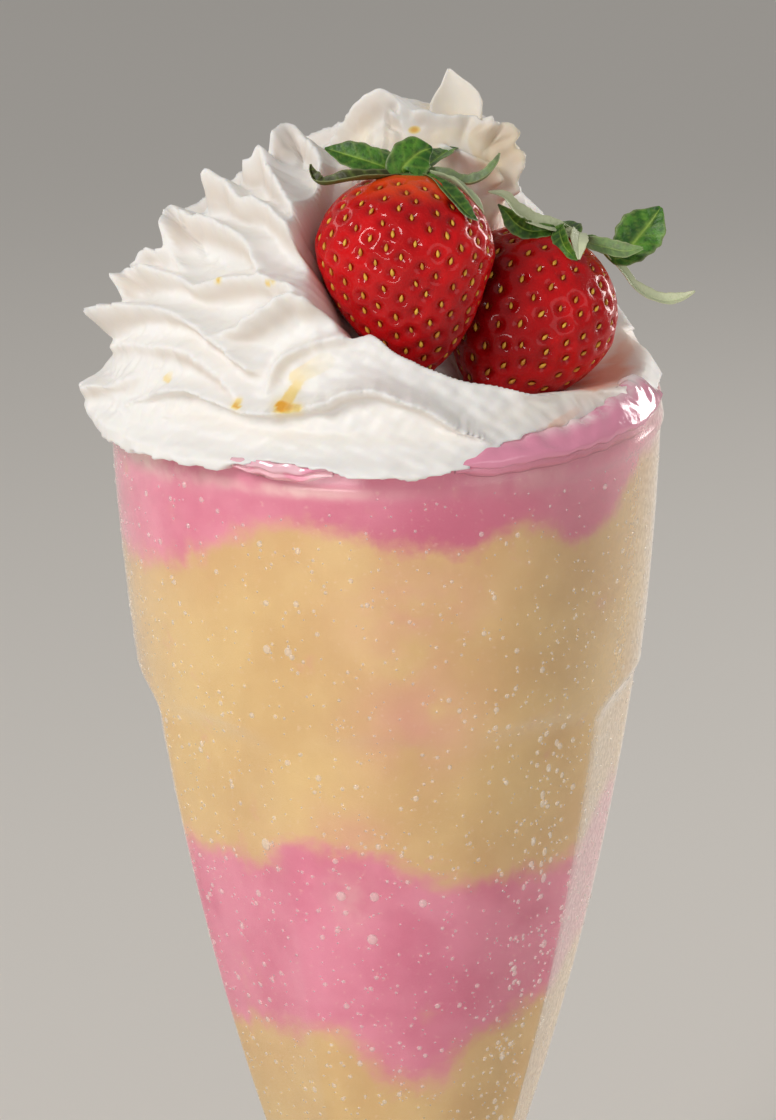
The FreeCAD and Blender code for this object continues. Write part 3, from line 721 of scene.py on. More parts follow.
# Leaves: points along the rib (x, y, height over the rim, width), the way the
# upper face looks, then how far it is cupped, how dry it is and how pale.
LEAVES = {
    "left": [
        ([(3.8, -16.5, 40.4, 1.6), (1.5, -17, 41.4, 3.6), (-1.8, -17, 42.7, 5), (-5.9, -16, 43.8, 4.2),
          (-9.2, -15, 44.5, 0.4)], (0.2, -0.9, 0.7), 0.25, 0.15, 0),
        ([(3, -17, 40.4, 1.2), (-0.6, -20, 40.9, 2.2), (-5, -21.5, 41, 2.6), (-9.6, -21, 40.2, 2),
          (-11.1, -20, 41.4, 1.6), (-11.5, -19.5, 43.1, 0.3)], (0, -0.2, 1), 0.9, 1, 0),
        ([(3.6, -17, 40.5, 2.4), (3.2, -17.5, 41.6, 5.6), (4.3, -17, 42.8, 6.8), (6, -15.5, 43.8, 5.6),
          (8, -14.5, 44.2, 0.6)], (0.2, -1, 0.5), 0.14, 0, 0),
        ([(6.6, -15.5, 40.3, 1.4), (9.9, -16.5, 40.1, 2.2), (13.2, -17, 38.9, 2.4),
          (16.2, -17, 39.8, 2.2), (18, -16.5, 41.8, 1.4), (18.8, -16, 43.6, 0.3)], (-0.1, -0.3, 1), 0.8,
          0.35, 0.2),
        ([(6.7, -17, 40.5, 1.4), (9, -21, 40, 2.6), (11.4, -25, 38.3, 3.2), (13.3, -26, 36.4, 2.2),
          (15, -25.5, 35, 0.3)], (0.5, -0.6, 0.6), 0.5, 0.2, 0),
        ([(7.2, -16, 40.4, 1.4), (10.6, -19, 40.1, 2.2), (13.1, -22, 38.9, 2.2), (15.2, -22.5, 36.6, 1.4),
          (16, -22, 35.2, 0.3)], (0.8, -0.3, 0.6), 0.6, 0, 0.6),
        ([(2.8, -14, 40, 1.4), (1.2, -9, 40.6, 4), (-0.5, -5, 41, 3), (-1.7, -2, 40.8, 0.4)], (0, 0, 1),
          0.3, 0.2, 0),
        ([(6.1, -14, 40, 1.4), (8.6, -9, 41, 4), (10.6, -5, 41.3, 3), (12.2, -3, 41.2, 0.4)], (0, 0, 1),
          0.3, 0.1, 0),
    ],
    "right": [
        ([(31.4, 0.5, 24.8, 1.2), (32, -5, 26.1, 1.6), (28.2, -6.5, 28.5, 2.3), (24.4, -8.5, 30.2, 2.7),
          (21.4, -10, 32.6, 2.4), (19.5, -11.5, 35.3, 1.6), (16.9, -12.5, 36.3, 0.3)], (0.1, -0.7, 0.7),
          0.6, 0, 0.85),
        ([(30.6, -4, 27, 1.2), (26.6, -7.8, 28.4, 2.2), (23.6, -9.4, 28.9, 3), (21.4, -10.9, 30.5, 3.2),
          (20, -11.9, 32.5, 2.2), (18.5, -12.9, 34.3, 0.3)], (-0.3, -0.7, 0.4), 0.4, 0.25, 0),
        ([(30.8, -3, 27, 1.4), (28.7, -6.9, 28.5, 2), (28.6, -9.9, 27.9, 2.8), (29.4, -11.9, 26.5, 2.6),
          (31.3, -12.9, 24.9, 0.4)], (-0.3, -1, 0.2), 0.4, 0.15, 0),
        ([(31.4, -2, 26.4, 1.6), (31.6, -6.9, 27.7, 2.6), (31.4, -10.9, 27.1, 2.8),
          (31.4, -13.1, 25, 0.4)], (0.2, -0.8, 0.5), 0.4, 0, 0.9),
        ([(31.6, 0, 25.2, 1.4), (32.5, -4.4, 25.7, 1.8), (35.8, -5.2, 24.9, 2.8), (39, -6, 24.4, 2.6),
          (42, -6.4, 24.9, 0.5)], (0, -0.9, 0.6), 0.5, 0.1, 0.2),
        ([(31.6, 1.5, 23.8, 1.2), (34.2, 0, 24.9, 1.3), (37, -2, 22.4, 1.4), (38.4, -2.4, 22.3, 3),
          (39.8, -2, 23.6, 6.2), (41.5, -1, 25.6, 7.8), (43.4, 0, 27.6, 6.4), (45.2, 1, 29.8, 0.8)],
          (-0.3, -1, 0.3), 0.15, 0, 0),
        ([(32, 2, 23.6, 1.2), (34.4, 0.6, 24.4, 1.2), (37, -1.6, 22.2, 1.3), (39.2, -1.8, 19.6, 1.6),
          (40.7, -2, 17.5, 1.8), (43.3, -2, 15.6, 2.5), (46, -2, 14.8, 2.5), (48.7, -2, 15.3, 1.8),
          (50.6, -2, 16.4, 0.3)], (0.2, -0.6, 1), 0.5, 0.15, 0.85),
        ([(31, 4, 23, 1.4), (30.6, 8, 24.2, 4), (30.2, 11, 24.6, 2.6), (29.9, 13, 24.4, 0.4)], (0, 0, 1),
          0.3, 0.2, 0),
    ],
}


def leaf_mesh(leaf, number):
    """One leaf on the drink, with its veins, underside and hem as values."""
    rib, face, cup, dry, pale = leaf
    rows, half = 48, 10
    line = spline(rib, rows)
    path = line[:, :3] + (0, 0, RIM)
    s = np.linspace(0, 1, rows)[:, None]
    t = np.linspace(-1, 1, 2 * half + 1)[None, :]
    off = np.abs(t)
    length = np.linalg.norm(np.diff(path, axis=0), axis=1).sum()
    wide = np.maximum(line[:, 3:], 0.25) / 2 * (1 + 0.04 * np.sin(s * length * 3.1 + number))
    along = unit(np.gradient(path, axis=0))
    aside = unit(np.cross(np.array(face, float), along))
    lift = (cup * off ** 1.6 - 0.12 * bell(t, 0.14)) * wide
    lift = lift + 0.10 * np.minimum(wide, 2) * np.sin(1.1 * s * length + 2 * number) * t
    middle = path[:, None] + aside[:, None] * (t * wide)[..., None]
    middle = middle + np.cross(along, aside)[:, None] * lift[..., None]
    out = unit(np.cross(np.gradient(middle, axis=0), np.gradient(middle, axis=1)) + 1e-9)
    out = out * (0.16 * np.sqrt(np.maximum(1 - off ** 4, 0.02)) * (1 - 0.4 * s))[..., None]
    points, faces = tube(np.concatenate([middle + out, (middle - out)[:, ::-1]], axis=1))
    slant = np.abs(np.sin((s * length - off * wide * 0.7) * math.pi / 1.9)) ** 14 * 0.3
    vein = np.clip(bell(t, 0.09) + slant * (off < 0.92), 0, 1)
    hem = smoothstep((off - 0.84) / 0.16) * 0.8 + 0 * s
    none = np.zeros_like(vein)
    values = {"vein": [vein, none], "under": [none, none + 1], "hem": [hem, hem], "dry": [none + dry] * 2,
              "pale": [none + pale] * 2}
    values = {key: np.concatenate(both, 1).ravel() for key, both in values.items()}
    return points, [face[::-1] for face in faces], values


def make_leaves(side, paint):
    """The leaves of one strawberry on the small disc that carries them."""
    spot, axes = berry_frame(side)
    seat = berry_ends(side)[1] - DIMPLE_DEPTH * (1 - 2.8 / DIMPLE_R) - 0.1
    disc = lathe([(2.0, -0.75), (2.7, -0.5), (2.9, 0.0), (2.6, 0.5), (1.6, 0.8), (0.9, 1.0)], 24)
    points, faces = shell(disc, (0, 0, -0.8), (0, 0, 1.1))
    plain = {"vein": 0.3, "under": 0.0, "hem": 0.0, "dry": 0.1, "pale": 0.1}
    pieces = [leaf_mesh(leaf, i) for i, leaf in enumerate(LEAVES[side])]
    pieces.append(((points + (0, 0, seat)) @ axes.T + spot, faces,
                   {key: np.full(len(points), value) for key, value in plain.items()}))
    values = {key: np.concatenate([piece[2][key] for piece in pieces]) for key in plain}
    name = f"{side}_leaves"
    add_mesh(name + "_look", *join([piece[:2] for piece in pieces]), paint, "leaf", name, values=values)


# ---------------------------------------------------------------- whipped cream

# A mound is a distance from its middle in every direction: here the core's, by
# bearing, at each of the core's elevations. Each crest is a line of (bearing,
# elevation, distance), with the widths of its flanks above and below.
MOUND_MIDDLE = (0.0, 0.0, -6.0)
MOUND_CORE = {
    -90: [45.4, 49, 46.5, 42, 40, 39.8, 40.8, 42.6, 45.5, 48],
    -45: [46.4, 47.4, 44, 40.8, 39.6, 40, 41, 43.5, 46, 48],
    -20: [44, 47.2, 43.6, 39.2, 35.8, 37.2, 40, 43.5, 46.8, 48],
    0: [42, 47.2, 44, 40.2, 36.8, 37.2, 40.5, 44, 47, 48],
    45: [40, 43, 42.5, 42, 39.5, 36.5, 37.5, 42, 46, 48],
    90: [40, 45.9, 44.6, 42.8, 40, 39.5, 41, 44, 47, 48],
    135: [40, 47.2, 45.5, 43.5, 42.5, 42.5, 43, 45, 47, 48],
    180: [40, 47.2, 45.5, 43.5, 42.5, 42.5, 43, 45, 47, 48],
    -135: [40, 47.2, 45.6, 43, 41, 40.8, 41.6, 43.5, 46.5, 48],
}
CORE_LEVELS = [0, 6, 11, 16, 25, 35, 45, 60, 75, 90]
MOUND_CRESTS = [
    ([(-128, 12, 49), (-110, 16, 50), (-97, 20, 51.5), (-84, 24, 53.8), (-74, 29, 50), (-61, 32, 48.7),
      (-53, 32, 48.1), (-44, 30, 47.4), (-34, 26, 45.5)], 3.2, 2),
    ([(-45, 30, 46.4), (-38, 33, 47), (-32, 37, 47.6), (-26, 41, 47.7), (-22, 41, 47.3), (-15, 43, 46.4)],
      3, 2.2),
    ([(-80, 32, 53.3), (-81, 34, 51.8), (-74, 37, 50.7), (-68, 38, 49.6), (-61, 39, 49), (-54, 39, 48.3),
      (-43, 43, 48.3), (-33, 44, 47.9), (-25, 43, 47.3)], 3, 1.8),
    ([(-110, 30, 47), (-95, 33, 48.2), (-84, 35, 50.6), (-80, 39, 50.9), (-73, 41, 50.8), (-70, 42, 49.7),
      (-64, 41, 48.6)], 2.4, 1.8),
    ([(-72, 45, 53.9), (-78, 48, 53.1), (-72, 49, 52.1), (-61, 51, 50.9), (-54, 51, 50.3),
      (-45, 50, 49.7), (-41, 48, 48.5), (-35, 44, 47.9)], 3, 1.8),
    ([(-73, 56, 55.3), (-67, 58, 53.3), (-57, 57, 51.7), (-47, 58, 51.1), (-37, 56, 50.4),
      (-29, 54, 49.3), (-24, 53, 47.8)], 2.8, 1.8),
    ([(-69, 63, 53.1), (-64, 66, 54.1), (-58, 65, 52.5), (-47, 63, 51.3), (-34, 59, 50.1),
      (-26, 57, 47.9)], 2.6, 1.8),
    ([(-73, 70, 54), (-80, 73, 54.1), (-74, 75, 52.2), (-48, 74, 49.9), (-33, 67, 47.5)], 2.6, 2),
    ([(-31, 19, 41), (-29, 22, 42.4), (-28, 26, 43.6), (-25, 30, 43.8), (-18, 34, 43.6), (-9, 36, 42.9),
      (-4, 38, 42.3), (3, 34, 42.6), (11, 30, 43), (18, 27, 43.4), (28, 24, 43.5), (35, 20, 43.3),
      (43, 19, 43.7)], 2.2, 2.2),
    ([(-75, 4, 46.6), (-71, 7, 46.6), (-62, 14, 46.8), (-54, 17, 46.4), (-47, 19, 46.3), (-40, 18, 45.8),
      (-32, 17, 45.6), (-24, 18, 45.6), (-14, 20, 45.9), (-10, 22, 46.1), (-3, 23, 46.1), (3, 21, 46.1),
      (9, 19, 45.8), (15, 15, 45.6), (22, 11, 44.6)], 3.2, 1.5),
    ([(-108, 5, 49.2), (-96, 7, 50.2), (-86, 9, 50.6), (-79, 12, 49.4), (-67, 17, 46.6)], 5, 7),
    ([(-84, 19, 47.9), (-68, 24, 46.7), (-52, 26, 46.2), (-42, 24, 45.4), (-35, 20, 44.3)], 5, 5),
    ([(73, 62, 48), (78, 53, 47.2), (80, 46, 45.8), (75, 36, 44.4), (73, 27, 44.2), (75, 22, 45.4),
      (77, 16, 46.6)], 2.6, 2.6),
    ([(122, 10, 48), (116, 26, 46.2), (110, 42, 46), (102, 58, 48), (82, 70, 49.6)], 3, 2.2),
    ([(152, 10, 49.5), (146, 26, 48.5), (141, 42, 48.8), (134, 58, 49.8), (118, 72, 50.5)], 3, 2.2),
    ([(-176, 10, 49.5), (178, 26, 48.5), (173, 42, 49), (166, 58, 50), (152, 72, 50.8)], 3, 2.2),
    ([(-146, 14, 49.5), (-152, 28, 49), (-157, 44, 49.5), (-164, 60, 50.4), (-178, 73, 51)], 3, 2.2),
    ([(-116, 42, 49), (-124, 50, 48.5), (-136, 62, 49.2), (-150, 74, 50.5)], 3, 2),
]
# Elevation under which the cream stands before the berries instead of behind them.
BERRY_LEDGE = [(-60, 90), (-40, 70), (-29, 50), (-22, 42), (-16, 40), (-9, 37), (-4, 38), (3, 34),
    (11, 30), (18, 27), (28, 24), (35, 21), (43, 19), (52, 17), (62, 15), (75, 13), (90, 13), (150, 13),
    (-150, 90), (-100, 90)]
# Height of the lip's lower edge from the rim, and where the cream stays inside the rim.
LIP_EDGE = [(-96, -4.6), (-86, -5.2), (-75, -4.6), (-68, -4.2), (-60, -3.9), (-52, -3.2), (-45, -2.8),
    (-38, -3), (-32, -1.8), (-26, -0.2), (-20, -0.2), (-14, -0.6), (-8, -1.6), (0, -2.2), (6, -2.4),
    (12, -1.8), (18, -0.6), (24, 1), (32, 2), (60, 2), (74, 1.5), (82, 0.2), (100, -0.5), (130, -1),
    (160, -2), (-170, -1), (-140, -2), (-115, -1)]

TOP_MIDDLE = (7.0, 6.0, 32.4)
TOP_CRESTS = [
    ([(-97, 22, 17.5), (-78, 43, 18.5), (-64, 53, 20), (-55, 61, 20.5), (-47, 64, 20), (-36, 65, 18),
      (-32, 62, 16.5)], 2.6, 1.4),
    ([(-92, 37, 16), (-80, 51, 17), (-59, 58, 17.5), (-38, 59, 16.5), (-27, 57, 14.8)], 1.6, 1.2),
    ([(-60, 22, 14.5), (-53, 33, 15.2), (-53, 42, 15.6), (-47, 50, 15.6), (-33, 50, 15)], 1.6, 1.4),
    ([(-33, 64, 15.8), (-2, 66, 16), (35, 60, 15.8), (58, 56, 16), (59, 49, 16.5), (63, 47, 18)], 1.8,
      1.8),
    ([(61, 44, 17.5), (72, 40, 18.5), (72, 32, 19), (69, 29, 17.7), (70, 21, 18.5), (64, 11, 17.5),
      (63, 4, 17.5)], 1.3, 1.5),
    ([(16, 41, 14.8), (33, 31, 15.6), (47, 22, 16), (52, 13, 16.5)], 2, 1.6),
    ([(100, 20, 16.8), (112, 40, 15.4), (125, 60, 14.4)], 2, 1.8),
    ([(140, 14, 17.4), (152, 36, 15.6), (170, 58, 14.2)], 2, 1.8),
    ([(-175, 14, 17.4), (-160, 36, 15.8), (-140, 58, 14.4)], 2, 1.8),
    ([(-132, 14, 17.6), (-118, 36, 16.4), (-100, 56, 15.4)], 2, 1.8),
]
# Log of a sum of powers, taken round this distance, runs core and crests together.
BLEND_AT = 40
NOT_MET = 99.0
CHUNK = 20000


def mound_core(bearing, elevation):
    """Distance of the mound's core, without its crests."""
    last = len(CORE_LEVELS) - 1
    tables = [[(k, v[i]) for k, v in MOUND_CORE.items()] for i in range(last + 1)]
    level = np.stack([around(bearing, table) for table in tables], 1)
    place = np.interp(elevation, CORE_LEVELS, np.arange(last + 1))
    i = np.clip(place.astype(int), 0, last - 1)
    share = smoothstep(place - i) * 0.5 + (place - i) * 0.5
    n = np.arange(len(bearing))
    return level[n, i] * (1 - share) + level[n, i + 1] * share


def sag(height, elevation):
    """How far a crest of some height sinks under its own weight."""
    return 0.3 * np.clip(height, 0, 8) * smoothstep((elevation - 8) / 8)


def raised(crests):
    """The crests, lifted by as much as they will sag."""
    lifted = []
    for points, above, below in crests:
        b, e, d = np.array(points, float).T
        spots = direction(b, e) * d[:, None]
        spots[:, 2] += sag(d - mound_core(b, e), e)
        far = np.linalg.norm(spots, axis=1)
        lifted.append((np.stack([b, np.degrees(np.arcsin(spots[:, 2] / far)), far], -1), above, below))
    return lifted


def ridged(ways, core, crests, seed, depth=11.0, sharp=1.3, ragged=0.3):
    """Distance in every direction, core and crests run together, and the painted shade in the folds under
    the crests.
    """
    jitter = Waves(2.6, seed)
    total = np.exp(sharp * (core - BLEND_AT))
    shade = np.zeros(len(ways))
    for points, above, below in crests:
        b, e, d = np.array(points, float).T
        line = spline(direction(b, e) * d[:, None], 90)
        reach = np.linalg.norm(line, axis=1)
        way = line / reach[:, None]
        aside = np.cross(way, np.gradient(line, axis=0))
        soft = np.convolve(np.pad(reach, 10, "edge"), np.full(21, 1 / 21), "valid")
        tip = reach - soft + ragged * jitter.at(line)
        for start in range(0, len(ways), CHUNK):
            here = slice(start, start + CHUNK)
            part = ways[here]
            dots = part @ way.T
            best = dots.argmax(1)
            gap = np.arccos(np.clip(dots[np.arange(len(part)), best], -1, 1)) * soft[best]
            side = (part * aside[best]).sum(1) / np.linalg.norm(aside[best], axis=1)
            width = below + (above - below) * smoothstep(side / 0.02 * 0.5 + 0.5)
            gap = np.maximum(np.sqrt(gap ** 2 + 0.12) - 0.34, 0)
            fall = depth * (1 - np.exp(-gap / width / 1.6))
            weight = np.exp(sharp * (soft[best] + tip[best] * np.exp(-gap / 2.0) - fall - BLEND_AT))
            total[here] += weight
            # Painted shade in a narrow strip just under each crest.
            shade[here] += weight * smoothstep(-side * soft[best] / 0.5) * bell(gap - 1.3, 1.1)
    return np.log(total) / sharp + BLEND_AT, shade / total


def berry_radius(side, points):
    """Distance of points outside a berry's skin, negative inside it."""
    spot, axes = berry_frame(side)
    x, y, z = np.moveaxis((points - spot) @ axes, -1, 0)
    tip, top = berry_ends(side)
    body = berry_outline(side, 200)
    body = body[body[:, 1].argsort()]
    reach = np.hypot(x, y)
    radius = np.interp(np.clip(z, tip, top), body[:, 1], body[:, 0])
    past = np.maximum(np.maximum(z - top, tip - z), 0)
    sign = np.where((reach < radius) & (past == 0), -1, 1)
    return np.hypot(np.maximum(reach - radius, -20), past) * sign


def berry_gaps(ways, middle, steps):
    """For each berry: where each direction meets it, its least gap, and where that is."""
    found = []
    n = np.arange(len(ways))
    for side in ("left", "right"):
        gap = np.stack([berry_radius(side, middle + ways * step) for step in steps], 1)
        inside = gap < 0
        i = np.maximum(inside.argmax(1), 1)
        before, after = gap[n, i - 1], gap[n, i]
        share = np.clip(before / np.maximum(before - after, 1e-6), 0, 1)
        first = steps[i - 1] + (steps[i] - steps[i - 1]) * share
        near = gap.argmin(1)
        found.append((np.where(inside.any(1), first, NOT_MET), gap[n, near], steps[near]))
    return found


def berry_limit(ways, middle):
    """How far the cream may reach in each direction without covering a berry."""
    bearing = bearing_of(ways[:, 0], ways[:, 1])
    steep = 0.8 + 4.2 * smoothstep((-bearing - 4) / 14) + 3.0 * smoothstep((np.abs(bearing) - 66) / 16)
    limit = NOT_MET
    for first, clear, where in berry_gaps(ways, middle, np.linspace(16, 52, 60)):
        beside = where + 0.9 + steep * np.maximum(clear, 0)
        limit = np.minimum(limit, np.where(first < NOT_MET, first + 0.9, beside))
    elevation = np.degrees(np.arcsin(ways[:, 2]))
    between = smoothstep((bearing - 2) / 7) * smoothstep((58 - bearing) / 8)
    between = between * smoothstep((60 - elevation) / 10)
    return np.minimum(limit, 20.0 + 47.0 * (1 - between))


def add_cream(name, skin, paint, node=None, **tints):
    """A piece of cream from its points and faces, with 0 for the tints that it lacks."""
    values = {key: tints.get(key, 0.0) for key in ("hollow", "honey", "blush", "juice", "fold")}
    add_mesh(name, *skin, paint, "cream", node, values=values)


def make_mound(paint):
    """The mound, laid out at every elevation and bearing from its middle."""
    elevation = np.append(np.linspace(-9, 12, 52), np.linspace(12, 70, 118)[1:])
    elevation = np.append(elevation, np.linspace(70, 89, 42)[1:])
    bearing = np.append(np.arange(-140, 75, 0.61), np.linspace(75, 220, 96)[:-1])
    e, b = (v.ravel() for v in np.meshgrid(elevation, (bearing + 180) % 360 - 180, indexing="ij"))
    ways = direction(b, e)
    middle = np.array(MOUND_MIDDLE) + (0, 0, RIM)
    core = mound_core(b, e)
    core = core + 0.35 * Waves(14, 4).at(ways * core[:, None])
    reach, fold = ridged(ways, core, raised(MOUND_CRESTS), 21)
    height = reach - core
    free = smoothstep((e - around(b, BERRY_LEDGE)) / 3.0)
    reach = reach * (1 - free) + soft_min(reach, berry_limit(ways, middle), 2.0) * free
    points = middle + ways * reach[:, None]
    points[:, 2] -= sag(height, e)
    # The mound's foot fits inside the rim below the lip's edge.
    x, y, z = points.T
    edge = RIM + around(bearing_of(x, y), LIP_EDGE) + 0.25 * Waves(4.0, 8).at(points)
    room = inner_round(np.minimum(z, RIM - 1.5)) - 0.9 + 15 * smoothstep((z - edge) / 1.6)
    points[:, :2] *= np.minimum(1, room / np.maximum(np.hypot(x, y), 1e-6))[:, None]
    front = 1 - 0.8 * smoothstep((np.abs(b) - 85) / 20)
    points += ways * (0.12 * front * Waves(3.0, 31).at(points))[:, None]
    # Painted red bounce light in the cream beside the berries, and deep red in the gap between them, painted
    # shadow with juice.
    left, right = (np.abs(berry_radius(side, points)) for side in ("left", "right"))
    glow = np.maximum(0.3 * bell(left, 1.6), 0.4 * bell(right, 2.4))
    grid = points.reshape(len(elevation), -1, 3)
    # Painted warm shade where the cream lies low between its crests.
    add_cream("cream_mound", shell(grid, (0, 0, grid[0, :, 2].mean())), paint, "whipped_cream",
              hollow=smoothstep((2.2 - height) / 2.2) * smoothstep((e - 10) / 10) * 0.35,
              honey=strokes(HONEY, points), blush=np.maximum(glow, strokes(PEACH, points, 20)),
              juice=0.9 * bell(np.maximum(left, right) ** 2, 25.0), fold=fold * smoothstep(height / 2.0))


# Drops of golden syrup in the cream's folds: to the right and upwards as they are
# seen from the front, at a drop's low end and its high end, then its two radii
# and its strength.
HONEY = [
    ((-16.6, -3.5), (-14, -3.9), 0.9, 0.6, 1),
    ((-15.8, -2.8), (-13.4, 1), 1, 0.7, 0.6),
    ((-14.2, 1.2), (-9.5, 3.6), 1.2, 1.6, 0.3),
    ((-23.8, -3.2), (-23.3, -2.2), 0.6, 0.35, 0.8),
    ((-35, 1.5), (-34.4, 2.4), 0.7, 0.5, 0.4),
    ((-26.5, 16.8), (-26.3, 17.2), 0.35, 0.25, 0.9),
    ((-18.4, 16.4), (-17.4, 16.2), 0.4, 0.3, 0.6),
]
# The same for the peach tint painted beside the right berry as red light thrown off it, and for the painted
# warm shade in the hollows of the top swirl.
PEACH = [
    ((33.2, 0.2), (37.4, 2.1), 1.6, 1.7, 1.2),
    ((37.2, 2.1), (39.6, 6.4), 1.7, 1.3, 1.2),
    ((26.6, -7.2), (30.5, -4.6), 0.8, 0.6, 0.7),
]
WARM = [
    ((-3.6, 38.6), (-2.6, 43), 2, 1.4, 0.75),
    ((0.6, 38), (1.2, 41.2), 1.6, 1.4, 0.6),
    ((16.6, 39.6), (19.6, 34), 2.6, 3, 1.2),
    ((20.6, 41.4), (22.4, 37.6), 1.6, 1.6, 1.2),
]


def strokes(table, points, behind=-8):
    """How strong a tint is: deep at a stroke's low end, fading up from it."""
    x, y, z = points.T
    flat = np.stack([x, (z - RIM) * math.cos(VIEW_TILT) + y * math.sin(VIEW_TILT)], -1)
    total = np.zeros(len(points))
    for low, high, wide, narrow, deep in table:
        low, way = np.array(low), np.subtract(high, low)
        t = np.clip((flat - low) @ way / (way @ way), 0, 1)
        gap = np.linalg.norm(flat - low - t[:, None] * way, axis=1)
        size = wide + (narrow - wide) * t
        drop = smoothstep((1.3 - gap / size) / 0.5) * (1 - 0.5 * t) * deep
        total = np.maximum(total, np.maximum(drop, 0.35 * deep * bell(gap, 2.4 * size)))
    return total * smoothstep((behind - y) / 4)


def make_top(paint):
    """The small swirl on top of the mound, behind the berries."""
    rows, cols = 150, 230
    e, b = np.meshgrid(np.linspace(-55, 88.5, rows), np.arange(cols) * 360.0 / cols - 180, indexing="ij")
    ways = direction(b.ravel(), e.ravel())
    middle = np.array(TOP_MIDDLE) + (0, 0, RIM)
    core = 13.2 + 0.5 * Waves(9, 14).at(ways * 13)
    reach, fold = ridged(ways, core, TOP_CRESTS, 5, depth=6.0, sharp=1.8, ragged=0.12)
    height = reach - core
    left, right = berry_gaps(ways, middle, np.linspace(2, 30, 40))
    reach = soft_min(reach, np.minimum(left[0], right[0]) + 1.0, 1.5)
    points = middle + ways * reach[:, None]
    points += ways * (0.1 * Waves(2.6, 33).at(points))[:, None]
    # Painted warm shade where the swirl lies low, and on its right side.
    hollow = np.maximum(smoothstep((2.0 - height) / 2.0) * 0.9, smoothstep((points[:, 0] - 17.5) / 4) * 0.6)
    syrup = np.linalg.norm((points - (5.2, -1.0, RIM + 43.9)) * (0.8, 0.5, 1.4), axis=1)
    add_cream("cream_top", shell(points.reshape(rows, cols, 3)), paint,
              hollow=np.clip(np.maximum(hollow * 0.8, 1.2 * strokes(WARM, points, 12)), 0, 1),
              honey=0.75 * smoothstep((1.5 - syrup / 0.8) / 1.1), fold=fold * smoothstep(height / 2.0))


# The thin upright tongue of cream: its middle (x, y, height over the rim) and half
# width, the direction of its width, and how far it is hollowed across.
TONGUE = [(11.7, 4.6, 41.5, 4.2), (11.8, 4.4, 44.7, 4.3), (12, 4.2, 47.4, 4.3), (12.1, 4.1, 48.9, 3.6),
          (12, 4, 50.2, 2.5), (11.4, 4, 51.5, 1.3), (11, 4, 52.7, 0.3)]
TONGUE_SIDE, TONGUE_CUP = (1, 0.1, 0), -1.4


def make_tongue(paint):
    rows, half = 22, 8
    x, y, z, wide = resampled(TONGUE, rows)
    path, wide = np.stack([x, y, z + RIM], -1)[:, None], wide[:, None, None]
    t = np.linspace(-1, 1, 2 * half + 1)[:, None]
    side = unit(np.array(TONGUE_SIDE, float))
    front = np.cross(side, (0, 0, 1.0))
    line = path + side * (t * wide) - front * (TONGUE_CUP * t ** 2 * wide / 4)
    thick = front * 0.55 * np.sqrt(1 - 0.9 * t ** 4) * (1 - 0.5 * np.arange(rows) / rows)[:, None, None]
    ring = np.concatenate([line + thick, (line - thick)[:, ::-1]], axis=1)
    # A little painted warm shade over the whole tongue.
    add_cream("cream_petals", tube(ring), paint, hollow=0.35)


# ---------------------------------------------------------------- overflow and drops

def make_smear(name, low, high, profile, whiter, paint):
    """Shake and melted cream on the rim between two bearings, by (out, up) from the rim's edge."""
    bearing = np.linspace(low, high, 2 * (high - low) + 10)
    ends = smoothstep((bearing - low) / 7) * smoothstep((high - bearing) / 6)
    out, rise = (column[:, None] for column in resampled(profile, 26))
    wobble = Waves(6.0, 51)
    swell = 1 + 0.6 * smoothstep((bearing - 46) / 16) * (rise > 0)
    z = RIM + rise * (0.35 + 0.65 * ends) * swell
    line = turned(RIM_RADIUS + out, z, np.radians(bearing - 90))
    line[..., 2] += 0.25 * wobble.at(line) * ends
    line[-1, :, 2] -= 0.1 * (1 + wobble.at(line[-1])) * ends
    back = line * (0.985, 0.985, 1) - (0, 0, 1.2)
    ring = np.concatenate([line, back[::-1]], axis=0).transpose(1, 0, 2)
    inner = smoothstep((-1.0 - out[:, 0]) / 3.0)
    cream = np.append(inner, inner[::-1]) * (0.35 + 0.65 * smoothstep((bearing - 32) / 14))[:, None]
    add_mesh(name, *tube(ring), paint, "strawberry_shake", values={"cream": np.maximum(cream, whiter)})


def make_smears():
    paint = smear_paint()
    right = [(-7.5, 0.4), (-5.8, 2.4), (-4.0, 2.9), (-2.4, 2.3), (-1.1, 1.5), (-0.1, 0.7), (0.3, -0.1),
             (0.15, -0.9), (-0.7, -1.5)]
    front = [(-3.0, -0.5), (-2.0, 0.0), (-0.8, 0.2), (0.1, 0.0), (0.4, -0.5), (0.4, -1.1), (-0.3, -1.6)]
    make_smear("rim_smear", 14, 84, right, 0.0, paint)
    make_smear("rim_smear_front", -33, -11, front, 0.4, paint)


def surface_frame(bearing, z, step=0.3):
    """A point on the outside of the glass with axes: across, up along it, outward."""
    def at(b, h):
        turn = math.radians(b - 90)
        return turned(outer_surface(h, turn), h, turn)

    up = unit(at(bearing, z + step) - at(bearing, z - step))
    across = unit(at(bearing + step, z) - at(bearing - step, z))
    return at(bearing, z), np.stack([across, up, unit(np.cross(across, up))], -1)


def drop_mesh(cols, rings):
    """A flat dome with its rim pulled just under the glass's skin."""
    steps = [math.pi / 2 * i / rings for i in range(rings)]
    grid = lathe([(math.cos(a), 0.62 * math.sin(a) - 0.05) for a in steps], cols)
    return shell(grid, (0, 0, -0.12), (0, 0, 0.57))


# The few biggest drops: bearing, height and size.
BIG_DROPS = [(-34, 128, 1.0), (-14, 120, 0.8), (-5, 120, 0.8), (-6, 112, 0.9), (-27, 164, 0.7),
             (-22, 164, 0.7), (8, 119, 0.7), (-40, 118, 0.6), (24, 150, 0.5)]


